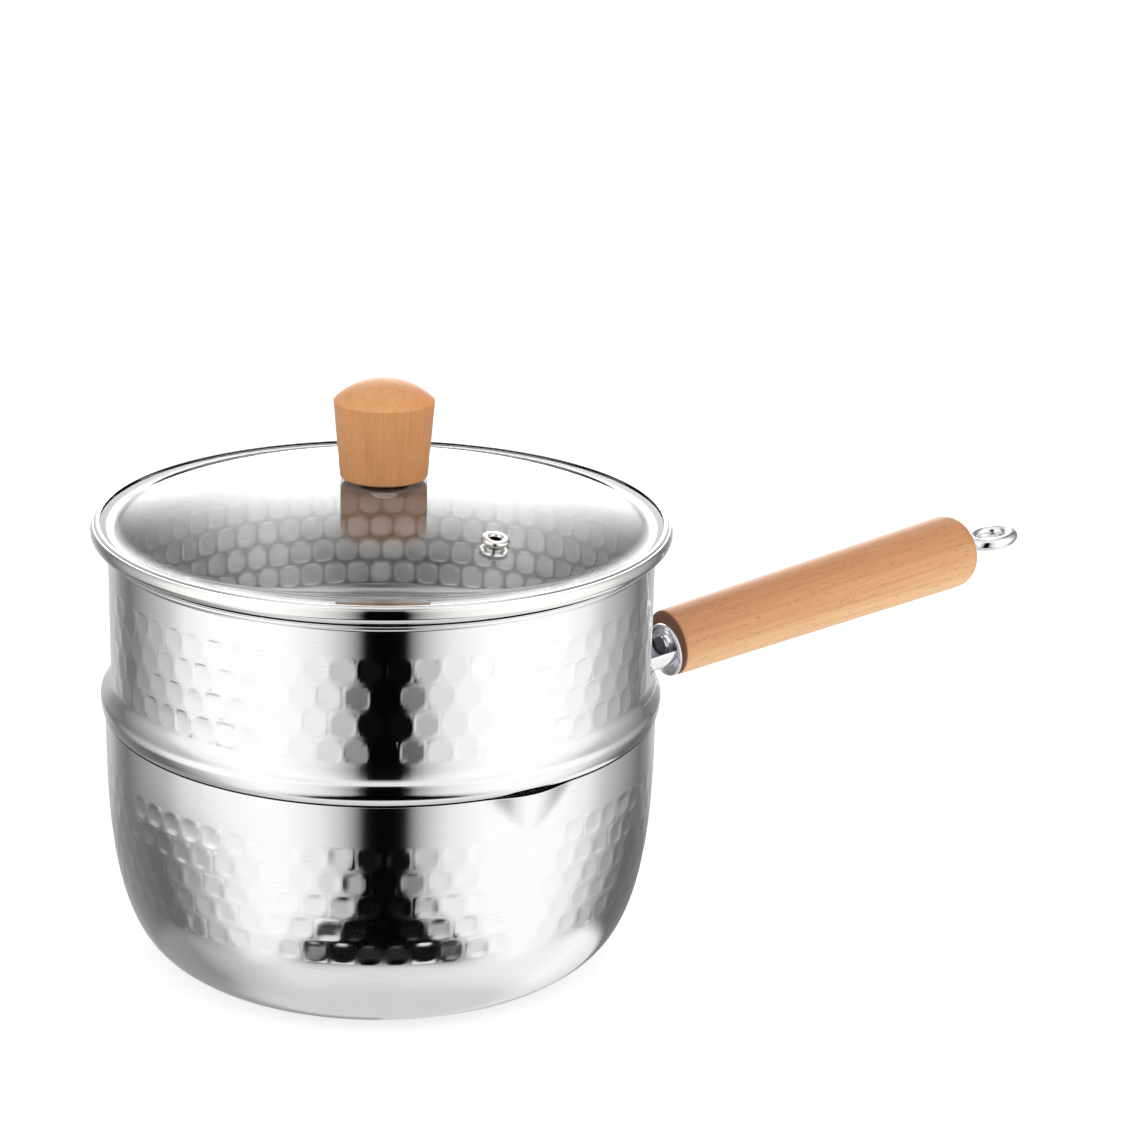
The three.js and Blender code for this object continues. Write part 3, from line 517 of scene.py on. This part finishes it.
def knob():
    """The turned knob: rounded foot, side that widens upward, crease and domed crown."""
    crease = KNOB_BASE + KNOB_SIDE
    bend = (KNOB_TOP_RADIUS**2 + KNOB_CROWN**2) / (2 * KNOB_CROWN)
    r = np.linspace(KNOB_TOP_RADIUS - 0.5, 0, 20)
    crown = np.stack([r, crease + KNOB_CROWN - (bend - np.sqrt(bend**2 - r**2))], 1)
    return turn("knob_wood", path(
        [0, KNOB_BASE + KNOB_BORE_DEPTH], [KNOB_BORE, KNOB_BASE + KNOB_BORE_DEPTH], [KNOB_BORE, KNOB_BASE],
        [KNOB_FOOT_RADIUS - 1.8, KNOB_BASE],
        arc((KNOB_FOOT_RADIUS - KNOB_FOOT_ROUND, KNOB_BASE + KNOB_FOOT_ROUND), KNOB_FOOT_ROUND, -90, 0, 6),
        [KNOB_TOP_RADIUS - 0.1, crease - 0.4], [KNOB_TOP_RADIUS, crease - 0.1],
        [KNOB_TOP_RADIUS - 0.15, crease + 0.12], crown,
    ), 128)


def rounded_ring(name, inside, outside, bottom, top, bevel, place=None):
    """A washer or tube with bevelled edges."""
    return turn(name, [
        [inside, bottom + bevel], [inside + bevel, bottom],
        [outside - bevel, bottom], [outside, bottom + bevel],
        [outside, top - bevel], [outside - bevel, top],
        [inside + bevel, top], [inside, top - bevel],
    ], 64, True, place=place)


def knob_screw():
    """A round-headed screw with a turned recess in its head."""
    top = CROWN_BOTTOM - 2.5
    return turn("screw", path(
        [0, top - 1.2], [1.4, top - 1.2], [1.4, top - 2.3], arc((2.8, top - 0.8), 1.6, -90, -10, 6),
        [SCREW_HEAD_RADIUS, top - 0.6], [SCREW_HEAD_RADIUS, top - 0.1], [SCREW_HEAD_RADIUS - 0.1, top],
        [SCREW_RADIUS, top], [SCREW_RADIUS, KNOB_BASE + 8.5], [SCREW_RADIUS - 0.4, KNOB_BASE + 9.0],
        [0, KNOB_BASE + 9.0],
    ), 64)


def vent_place():
    """Where the vent stands on the dome, with +Z along the glass's normal."""
    lean = math.asin(VENT_CENTRE / DOME_BEND)
    height = float(dome(VENT_CENTRE, GLASS_THICKNESS))
    return (Matrix.Rotation(math.radians(VENT_ANGLE), 4, "Z")
            @ Matrix.Translation((VENT_CENTRE * MM, 0, height * MM)) @ Matrix.Rotation(lean, 4, "Y"))


def vent_eyelet(place):
    """A flanged tube through the glass."""
    low = -GLASS_THICKNESS - SEAT_GAP
    return turn("vent_ring", path(
        [VENT_BORE, low - COLLAR_HEIGHT], [VENT_TUBE, low - COLLAR_HEIGHT], [VENT_TUBE, SEAT_GAP],
        arc((4 * VENT_ROLL, SEAT_GAP + VENT_ROLL), VENT_ROLL, -90, 90, 12),
        arc((VENT_BORE + VENT_ROLL, SEAT_GAP + VENT_ROLL), VENT_ROLL, 90, 180, 8),
    ), 64, closed=True, place=place)


def handle_place():
    """The grip's axis: +Z of the pieces made along it, from the grip's front face."""
    return (Matrix.Translation([v * MM for v in HANDLE_FRONT])
            @ Matrix.Rotation(math.pi / 2 - math.radians(HANDLE_TILT), 4, "Y"))


def grip(place):
    """The turned grip, bored for the boss in front, the rod, and the eye's shank behind."""
    boss_bore, front = BOSS_RADIUS + BORE_GAP, BOSS_REACH + BORE_GAP
    shank_bore, end = SHANK_RADIUS + BORE_GAP, GRIP_LENGTH - SHANK_LENGTH - BORE_GAP
    return turn("grip_wood", path(
        [ROD_BORE, front], [boss_bore, front], [boss_bore, 0], [9.4, 0],
        arc((GRIP_FRONT_RADIUS - GRIP_FRONT_ROUND, GRIP_FRONT_ROUND), GRIP_FRONT_ROUND, -90, 0, 6),
        np.linspace((GRIP_FRONT_RADIUS + 0.05, 3), (GRIP_END_RADIUS - 0.05, 126), 30),
        arc((GRIP_END_RADIUS - GRIP_END_ROUND, GRIP_LENGTH - GRIP_END_ROUND), GRIP_END_ROUND, 0, 90, 16),
        [shank_bore, GRIP_LENGTH], [shank_bore, end], [ROD_BORE, end],
    ), 96, closed=True, place=place)


def guard(place):
    """The bright disc in front of the grip: a shallow dome z = face - D (1 - (r/g)^2) in a rolled rim."""
    groove = GUARD_RADIUS - 1.3
    r = np.linspace(0, groove, 16)
    face = np.stack([r, -1.0 - GUARD_DOME * (1 - (r / groove) ** 2)], 1)
    lowered = place @ Matrix.Translation((GUARD_DROP * MM, 0, 0))
    return turn("guard_disc", path(
        face, arc((GUARD_RADIUS - 0.65, -1.0), 0.65, 170, 360, 10), [GUARD_RADIUS, -0.45],
        [GUARD_RADIUS - 0.15, -0.3], [0, -0.3],
    ), 96, place=lowered)


def tang(place):
    """A half-round bar along the grip's axis, flat side up with rounded edges. Local +X points down."""
    edge = TANG_EDGE
    under = np.radians(np.linspace(6, 174, 29))
    near = arc((edge, TANG_RADIUS - edge), edge, 180, 90, 6)
    section = path(near, np.stack([TANG_RADIUS * np.sin(under), TANG_RADIUS * np.cos(under)], 1),
                   near[::-1] * (1, -1))
    m = len(section)
    rings = [np.column_stack([section, np.full(m, z)]) for z in (TANG_START, TANG_END)]
    middle = TANG_RADIUS / 2
    verts = np.vstack(rings + [[middle, 0, TANG_START], [middle, 0, TANG_END]])
    j = np.arange(m)
    start_cap = np.stack([np.full(m, 2 * m), j, (j + 1) % m], -1)
    end_cap = np.stack([np.full(m, 2 * m + 1), m + (j + 1) % m, m + j], -1)
    obj = add_mesh("bracket_tang", verts, grid_quads(2, m)[:, ::-1], np.vstack([start_cap, end_cap]))
    obj.data.transform(place)
    return obj


def saddle():
    """An oval plate bent round the pan's wall: its point (y, z) lies at the angle y / wall radius."""
    wall = PAN_RADIUS + 0.3
    a = np.linspace(0, 2 * math.pi, 72, endpoint=False)[None]
    over = np.concatenate([np.linspace(0.05, 0.9, 10), 0.9 + 0.1 * np.sin(np.radians([20, 40, 60, 75, 90]))])
    height = np.concatenate([np.ones(10), np.cos(np.radians([20, 40, 60, 75, 90]))]) * SADDLE_THICKNESS
    share = np.concatenate([over, over[9::-1]])[:, None]
    lift = np.concatenate([height, np.zeros(10)])[:, None]
    y = 0.5 * SADDLE_WIDTH * share * np.cos(a)
    z = SADDLE_MIDDLE + 0.5 * SADDLE_HEIGHT * share * np.sin(a)
    radius = wall + lift + 0 * a
    verts = np.stack([radius * np.cos(y / wall), radius * np.sin(y / wall), z], -1)
    n, m = verts.shape[:2]
    middles = [[wall + SADDLE_THICKNESS, 0, SADDLE_MIDDLE], [wall, 0, SADDLE_MIDDLE]]
    verts = np.vstack([verts.reshape(-1, 3), middles])
    j = np.arange(m)
    outer = np.stack([np.full(m, n * m), j, (j + 1) % m], -1)
    inner = np.stack([np.full(m, n * m + 1), (n - 1) * m + (j + 1) % m, (n - 1) * m + j], -1)
    return add_mesh("bracket_saddle", verts, grid_quads(n, m)[:, ::-1], np.vstack([outer, inner]))


def boss(place):
    """The bracket's tapped boss, through the guard into the grip."""
    return turn("bracket_boss", [
        [0, -2.9], [BOSS_RADIUS - 0.3, -2.9], [BOSS_RADIUS, -2.6],
        [BOSS_RADIUS, BOSS_REACH - 0.3], [BOSS_RADIUS - 0.3, BOSS_REACH],
        [ROD_BORE, BOSS_REACH], [ROD_BORE, 3.7], [0, 3.7],
    ], 48, place=place)


def eye(place):
    """The hanging ring: a ring of round wire drawn out along the handle, and its neck and shank.

    With stretch k, the ring is x = w sin v, y = (R + w cos v) sin u, z = middle + k (R + w cos v) cos u.
    """
    u = np.linspace(0, 2 * math.pi, 72, endpoint=False)[:, None]
    v = np.linspace(0, 2 * math.pi, 28, endpoint=False)[None]
    out = EYE_WIDTH + EYE_WIRE * np.cos(v)
    verts = np.stack([EYE_WIRE * np.sin(v) + 0 * u, out * np.sin(u),
                      EYE_MIDDLE + EYE_LENGTH / EYE_WIDTH * out * np.cos(u)], -1).reshape(-1, 3)
    loop = add_mesh("eye_loop", verts, grid_quads(72, 28, True)[:, ::-1])
    loop.data.transform(place)
    low = GRIP_LENGTH - SHANK_LENGTH
    neck = np.array([[4.0, 0.3], [3.1, 0.7], [2.7, 1.4], [2.6, 2.4], [2.8, 3.6], [3.3, 5.0], [0, 5.4]])
    shank = turn("eye_shank", path(
        [0, low + 6.3], [ROD_BORE, low + 6.3], [ROD_BORE, low],
        [SHANK_RADIUS, low], [SHANK_RADIUS, GRIP_LENGTH], neck + (0, GRIP_LENGTH),
    ), 48, place=place)
    return [loop, shank]


class Shader:
    """A node tree that is filled in one call per node."""

    def __init__(self, tree):
        self.tree = tree
        tree.nodes.clear()

    def node(self, kind, **sockets):
        made = self.tree.nodes.new(kind)
        for name, value in sockets.items():
            self.feed(made, name.replace("_", " "), value)
        return made

    def feed(self, made, name, value):
        socket = made.inputs[int(name)] if name.isdigit() else made.inputs[name]
        if isinstance(value, bpy.types.NodeSocket):
            self.tree.links.new(value, socket)
        else:
            socket.default_value = value

    def math(self, operation, *values):
        made = self.tree.nodes.new("ShaderNodeMath")
        made.operation = operation
        for i, value in enumerate(values):
            self.feed(made, str(i), value)
        return made.outputs[0]

    def dot(self, vector, other):
        made = self.tree.nodes.new("ShaderNodeVectorMath")
        made.operation = "DOT_PRODUCT"
        self.feed(made, "0", vector)
        self.feed(made, "1", other)
        return made.outputs["Value"]

    def step(self, value, low, high):
        made = self.tree.nodes.new("ShaderNodeMapRange")
        made.interpolation_type = "SMOOTHSTEP"
        for name, v in (("Value", value), ("From Min", low), ("From Max", high)):
            self.feed(made, name, v)
        return made.outputs["Result"]

    def ramp(self, value, stops):
        """Straight lines through (value, grey) stops."""
        low = stops[0][0]
        span = stops[-1][0] - low
        made = self.tree.nodes.new("ShaderNodeValToRGB")
        self.feed(made, "Fac", self.math("MULTIPLY_ADD", value, 1 / span, -low / span))
        ramp = made.color_ramp
        while len(ramp.elements) < len(stops):
            ramp.elements.new(0.5)
        for element, (place, grey) in zip(ramp.elements, stops):
            element.position = (place - low) / span
            element.color = (grey, grey, grey, 1)
        return made.outputs["Color"]

    def apart(self, value, middle):
        """How far a value lies from a middle, on either side."""
        return self.math("ABSOLUTE", self.math("SUBTRACT", value, middle))

    def mix(self, share, a, b):
        made = self.tree.nodes.new("ShaderNodeMix")
        made.data_type = "RGBA"
        for i, value in ((0, share), (6, a), (7, b)):
            self.feed(made, str(i), value)
        return made.outputs[2]


def material(name):
    """A new material and its shader tree."""
    made = bpy.data.materials.new(name)
    made.use_nodes = True
    return made, Shader(made.node_tree)


def finish_material(tree, **sockets):
    """Ends a material in one surface node."""
    surface = tree.node("ShaderNodeBsdfPrincipled", **sockets)
    tree.node("ShaderNodeOutputMaterial", Surface=surface.outputs[0])


def groove(tree, around, height, rows, pitch):
    """A share that is 1 in the grooves between tiles, where painted shade goes, from the angle in radians and
    the height in metres.

    With u the count of rows down from the top edge and t that of tiles round the wall, shifted half a
    tile in every other row, q = (x^3 + y^3)^(1/3) with y = |2 (u - row) - 1| and x = |2 (t - tile)|.
    """
    u = tree.math("DIVIDE", tree.math("SUBTRACT", (rows[0] + pitch / 2) * MM, height), pitch * MM)
    row = tree.math("FLOOR", u)
    up = tree.math("ABSOLUTE", tree.math("MULTIPLY_ADD", tree.math("SUBTRACT", u, row), 2.0, -1.0))
    shift = tree.math("MULTIPLY_ADD", tree.math("MODULO", row, 2.0), -0.5, 0.5 - TILE_TURN)
    tile = tree.math("FRACT", tree.math("MULTIPLY_ADD", around, TILES / (2 * math.pi), shift))
    beside = tree.math("ABSOLUTE", tree.math("MULTIPLY_ADD", tile, 2.0, -1.0))
    half = len(rows) / 2
    inner = tree.math("LESS_THAN", tree.apart(u, half), half)
    cubes = tree.math("ADD", tree.math("POWER", up, 3.0), tree.math("POWER", beside, 3.0))
    return tree.math("MULTIPLY", tree.step(tree.math("POWER", cubes, 1 / 3), 0.76, 1.08), inner)


def steel(name, colour, roughness, brushed, inside=None, rows=(), pitch=0.0, shade=1.0):
    """Bright steel, with fine lines that run round the axis.

    Faces towards the axis may have a roughness of their own, with painted shade in the grooves between the
    hammered tiles and painted shade towards the top.
    """
    made, tree = material(name)
    bright = (*colour, 1)
    shaded = (*(shade * c for c in colour), 1)
    spot = tree.node("ShaderNodeTexCoord").outputs["Object"]
    x, y, z = tree.node("ShaderNodeSeparateXYZ", Vector=spot).outputs
    around = tree.math("ARCTAN2", y, x)
    lines = tree.node("ShaderNodeCombineXYZ", X=tree.math("MULTIPLY", around, 5.0),
                      Y=tree.math("MULTIPLY", z, 3500.0))
    grain = tree.node("ShaderNodeTexNoise", Vector=lines.outputs[0], Scale=1.0, Detail=3.0)
    streaks = tree.math("MULTIPLY", tree.step(grain.outputs[0], 0.4, 0.75), 2.0 * brushed)
    painted = tree.mix(streaks, bright, STREAK_TONE)
    bump = tree.node("ShaderNodeBump", Strength=brushed, Distance=0.00005, Height=grain.outputs[0])
    if inside is not None:
        flat = tree.node("ShaderNodeCombineXYZ", X=x, Y=y)
        facing = tree.dot(tree.node("ShaderNodeNewGeometry").outputs["Normal"], flat.outputs[0])
        within = tree.step(facing, 0.004, -0.012)
        roughness = tree.math("MULTIPLY_ADD", within, inside - roughness, roughness)
        # Painted shade on inside faces: darker towards the top by the factor shade, and dark in the grooves
        # between tiles
        face = tree.mix(tree.step(z, (rows[0] + pitch) * MM, (rows[-1] + pitch) * MM), shaded, bright)
        lined = tree.mix(groove(tree, around, z, rows, pitch), face, GROOVE_SHADE_TONE)
        painted = tree.mix(within, painted, lined)
    finish_material(tree, Base_Color=painted, Metallic=1.0, Roughness=roughness, Normal=bump.outputs[0])
    return made


def scaled_steel(place):
    """Polished steel with painted shade that darkens its upper face."""
    made, tree = material("scaled_steel")
    upward = -place.to_3x3().col[0]
    facing = tree.dot(tree.node("ShaderNodeNewGeometry").outputs["Normal"], upward)
    # Painted shade: faces turned up take a near-black colour in place of bright steel
    colour = tree.mix(tree.step(facing, 0.8, 0.97), (0.90, 0.885, 0.865, 1), (0.07, 0.07, 0.09, 1))
    finish_material(tree, Base_Color=colour, Metallic=1.0, Roughness=0.15)
    return made


def plain(name, colour, roughness, metallic=0.0):
    """A plain surface."""
    made, tree = material(name)
    finish_material(tree, Base_Color=(*colour, 1), Metallic=metallic, Roughness=roughness)
    return made


def glass():
    """Clear glass."""
    made, tree = material("clear_glass")
    finish_material(tree, Base_Color=(0.985, 0.99, 0.99, 1), Roughness=0.0, IOR=1.5, Transmission_Weight=1.0)
    return made


def wood(name, upper, lower, place, fleck, front_shade=False):
    """Oiled beech: redder above and paler below, which is partly the wood's tone and partly painted shade,
    with soft bands, fine streaks, short flecks, and painted shade on the front end.

    The colours follow place's own axes, where +Z runs along the grain and +X points down.
    """
    made, tree = material(name)
    spot = tree.node("ShaderNodeTexCoord").outputs["Object"]
    local = tree.tree.nodes.new("ShaderNodeMapping")
    local.vector_type = "TEXTURE"
    local.inputs["Location"].default_value = place.to_translation()
    local.inputs["Rotation"].default_value = place.to_euler()
    tree.feed(local, "Vector", spot)
    where = local.outputs[0]
    down, _, along = tree.node("ShaderNodeSeparateXYZ", Vector=where).outputs

    def stretched(x, y, z, detail):
        scaled = tree.tree.nodes.new("ShaderNodeVectorMath")
        scaled.operation = "MULTIPLY"
        tree.feed(scaled, "0", where)
        tree.feed(scaled, "1", (x, y, z))
        return tree.node("ShaderNodeTexNoise", Vector=scaled.outputs[0], Scale=1.0, Detail=detail).outputs[0]

    bands = tree.math("MULTIPLY_ADD", stretched(240, 140, 11, 2.0), 0.012, -0.006)
    # Painted shade, partly the wood's own tone: the upper side gets the redder, darker colour and the lower
    # side the paler one
    colour = tree.mix(tree.step(tree.math("ADD", down, bands), -0.010, 0.008), (*upper, 1), (*lower, 1))
    growth = tree.step(stretched(420, 300, 9, 2.0), 0.45, 0.72)
    streaks = tree.step(stretched(1500, 1500, 32, 3.0), 0.3, 0.7)
    dark = (upper[0] * 0.72, upper[1] * 0.62, upper[2] * 0.5, 1)
    colour = tree.mix(tree.math("MULTIPLY", growth, 0.30), colour, dark)
    colour = tree.mix(tree.math("MULTIPLY", streaks, 0.24), colour, dark)
    flecks = tree.step(stretched(2000, 1500, 330, 1.0), 0.63, 0.72)
    colour = tree.mix(tree.math("MULTIPLY", flecks, fleck), colour, (0.30, 0.12, 0.04, 1))
    # Painted shade on the grip's front end: the first millimetre of wood at its face turns dark brown
    if front_shade:
        colour = tree.mix(tree.step(along, 0.0009, 0.0002), colour, (0.24, 0.09, 0.04, 1))
    bump = tree.node("ShaderNodeBump", Strength=0.08, Distance=0.0002, Height=streaks)
    finish_material(tree, Base_Color=colour, Roughness=0.42, Normal=bump.outputs[0])
    return made


def finish_piece(obj, body, paint, slot, *nodes):
    """Gives a piece its material, its body and the CAD nodes it stands for."""
    obj.data.materials.clear()
    obj.data.materials.append(paint)
    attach(obj, body)
    if nodes:
        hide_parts(*nodes)


pan_steel = steel("pan_steel", SHELL_COLOUR, 0.10, 0.06, 0.22, PAN_ROWS, PAN_PITCH)
# The steamer's inside has painted shade that darkens it towards its rim
steamer_steel = steel("steamer_steel", SHELL_COLOUR, 0.08, 0.06, 0.22, STEAMER_ROWS, STEAMER_PITCH, shade=0.52)
satin = steel("satin_steel", (0.70, 0.70, 0.705), 0.28, 0.05)
polished = steel("polished_steel", (0.92, 0.905, 0.885), 0.06, 0.02)
chrome = plain("chrome", (0.90, 0.90, 0.915), 0.05, 1.0)
guard_chrome = plain("guard_chrome", (0.72, 0.72, 0.78), 0.16, 1.0)
brass = plain("brass", (0.72, 0.52, 0.22), 0.3, 1.0)
rubber = plain("silicone", (0.10, 0.09, 0.085), 0.55)
knob_wood = wood("knob_beech", (0.95, 0.46, 0.19), (0.93, 0.42, 0.165), Matrix.Identity(4), 0.15)
grip_wood = wood("grip_beech", (0.78, 0.36, 0.16), (0.90, 0.56, 0.28), handle_place(), 0.38, front_shade=True)

on_handle = handle_place()
on_vent = vent_place()
upper_bottom = CROWN_BOTTOM + GLASS_THICKNESS + SEAT_GAP
upper_top = upper_bottom + GASKET_THICKNESS
lower_top = CROWN_BOTTOM - SEAT_GAP
lower_bottom = lower_top - GASKET_THICKNESS
washer_top = lower_bottom - SEAT_GAP
washer_bottom = washer_top - WASHER_THICKNESS
collar_top = -GLASS_THICKNESS - SEAT_GAP
collar_bottom = collar_top - COLLAR_HEIGHT
finish_piece(pan_shell(), "pan", pan_steel, "hammered_steel", "pan_body")
finish_piece(tang(on_handle), "pan", scaled_steel(on_handle), "bright_steel", "handle_bracket")
finish_piece(saddle(), "pan", polished, "bright_steel")
finish_piece(boss(on_handle), "pan", polished, "bright_steel")
finish_piece(guard(on_handle), "pan", guard_chrome, "chrome", "flame_guard")
grip_piece = grip(on_handle)
grip_piece.visible_glossy = False
finish_piece(grip_piece, "pan", grip_wood, "beech", "handle_grip")
loop, shank = eye(on_handle)
finish_piece(loop, "pan", chrome, "chrome", "hanging_eye")
finish_piece(shank, "pan", chrome, "chrome")
finish_piece(steamer_shell(), "steamer", steamer_steel, "hammered_steel", "steamer_body")
finish_piece(steamer_floor(), "steamer", satin, "hammered_steel")
finish_piece(lid_glass(on_vent), "lid", glass(), "glass", "lid_glass")
finish_piece(lid_band(), "lid", polished, "bright_steel", "lid_band")
finish_piece(knob(), "lid", knob_wood, "beech", "lid_knob")
finish_piece(knob_screw(), "lid", polished, "bright_steel", "knob_screw")
finish_piece(rounded_ring("washer", SCREW_HOLE, WASHER_RADIUS, washer_bottom, washer_top, 0.2),
             "lid", polished, "bright_steel", "knob_washer")
finish_piece(rounded_ring("gasket_upper", SCREW_HOLE, UPPER_GASKET_RADIUS, upper_bottom, upper_top, 0.15),
             "lid", rubber, "silicone", "knob_gasket_upper")
finish_piece(rounded_ring("gasket_lower", SCREW_HOLE, LOWER_GASKET_RADIUS, lower_bottom, lower_top, 0.15),
             "lid", rubber, "silicone", "knob_gasket_lower")
finish_piece(vent_eyelet(on_vent), "lid", polished, "bright_steel", "vent_eyelet")
finish_piece(rounded_ring("vent_clinch", VENT_TUBE + SEAT_GAP, 4.5, collar_bottom, collar_top, 0.3, on_vent),
             "lid", polished, "bright_steel", "vent_collar")

for name, paint in {"tie_rod": polished, "knob_insert": brass}.items():
    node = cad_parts[name]
    node.data.materials.clear()
    node.data.materials.append(paint)


def studio():
    """White tent: dark slit in front, bright sides, grey corners behind, a floor and a white backdrop.

    With f towards the camera, s to its right and u up, the angle round is atan2(s, f) and the height
    angle is asin(u). Each zone is a smooth step or a table of levels in one of the two.
    """
    world = bpy.data.worlds.new("studio")
    bpy.context.scene.world = world
    world.use_nodes = True
    tree = Shader(world.node_tree)
    ray = tree.node("ShaderNodeTexCoord").outputs["Generated"]
    front = tree.dot(ray, (-0.5, -0.866, 0.0))
    side = tree.dot(ray, (0.866, -0.5, 0.0))
    up = tree.dot(ray, (0.0, 0.0, 1.0))
    degrees = 180 / math.pi
    around = tree.math("MULTIPLY", tree.math("ARCTAN2", side, front), degrees)
    height = tree.math("MULTIPLY", tree.math("ARCSINE", up), degrees)

    # Slit, wider low down, between sides that are darker low down
    off = tree.apart(around, 1.2)
    wider = tree.math("MULTIPLY", tree.step(height, -30.0, -47.0), 27.0)
    slit = tree.ramp(tree.math("MAXIMUM", tree.math("SUBTRACT", off, wider), 0.0), SLIT)
    high_sides = tree.ramp(tree.apart(around, 3.0), HIGH_SIDES)
    low_sides = tree.ramp(tree.apart(around, 12.0), LOW_SIDES)
    sides = tree.mix(tree.step(height, -21.0, -26.0), high_sides, low_sides)
    light = tree.math("MULTIPLY", slit, sides)

    # Floor, of one tone right under the object
    edge = tree.math("MULTIPLY_ADD", tree.step(off, 60.0, 120.0), -11.0, 48.5)
    floor_share = tree.step(tree.math("ADD", height, edge), 2.0, -2.0)
    floor_tone = tree.mix(tree.step(height, -52.0, -68.0), tree.ramp(around, FLOOR_TONES), FOOT_TONE)
    light = tree.mix(floor_share, light, floor_tone)

    # Backdrop behind the object, and the ceiling
    behind = tree.step(tree.apart(around, -1.0), 159.5, 176.0)
    light = tree.mix(tree.math("MULTIPLY", behind, tree.step(height, -14.0, -7.0)), light, BACKDROP)
    light = tree.mix(tree.math("MULTIPLY", behind, tree.step(height, 19.0, 44.0)), light, BACKDROP_TOP)
    light = tree.mix(tree.step(height, 52.0, 68.0), light, CEILING)
    glow = tree.node("ShaderNodeBackground", Color=light, Strength=1.12)
    tree.node("ShaderNodeOutputWorld", Surface=glow.outputs[0])


def stage():
    """A pale floor and a white surround that only the camera sees."""
    made, tree = material("floor")
    finish_material(tree, Base_Color=(0.9, 0.9, 0.9, 1), Roughness=1.0, Emission_Color=(1, 1, 1, 1),
                    Emission_Strength=0.5)
    bpy.ops.mesh.primitive_circle_add(vertices=96, radius=6.0, fill_type="NGON", location=(0, 0, -0.0006))
    floor = bpy.context.object
    floor.name = "floor"
    floor.data.materials.append(made)
    floor.visible_glossy = False
    white, tree = material("surround")
    tree.node("ShaderNodeOutputMaterial", Surface=tree.node("ShaderNodeEmission", Strength=1.0).outputs[0])
    bpy.ops.mesh.primitive_uv_sphere_add(segments=48, ring_count=24, radius=5.9, location=(0, 0, 0))
    surround = bpy.context.object
    surround.name = "surround"
    surround.data.materials.append(white)
    for flag in ("visible_diffuse", "visible_glossy", "visible_transmission", "visible_shadow",
                 "visible_volume_scatter"):
        setattr(surround, flag, False)


def camera():
    """The photo's view: an 86 mm lens, 0.9 m away and 21 degrees above level."""
    data = bpy.data.cameras.new("camera")
    data.lens = 86.24
    data.sensor_width = 36.0
    cam = bpy.data.objects.new("camera", data)
    bpy.context.scene.collection.objects.link(cam)
    eye_point = Vector((-0.42025, -0.72790, 0.40275))
    aim = Vector((0.05839, -0.01803, 0.12528))
    cam.location = eye_point
    cam.rotation_mode = "QUATERNION"
    roll = math.radians(1.597)
    level = (aim - eye_point).to_track_quat("-Z", "Y")
    cam.rotation_quaternion = level @ Quaternion((0, 0, 1), roll)
    bpy.context.scene.camera = cam


studio()
stage()
camera()
scene = bpy.context.scene
scene.view_settings.view_transform = "Standard"
scene.view_settings.look = "None"
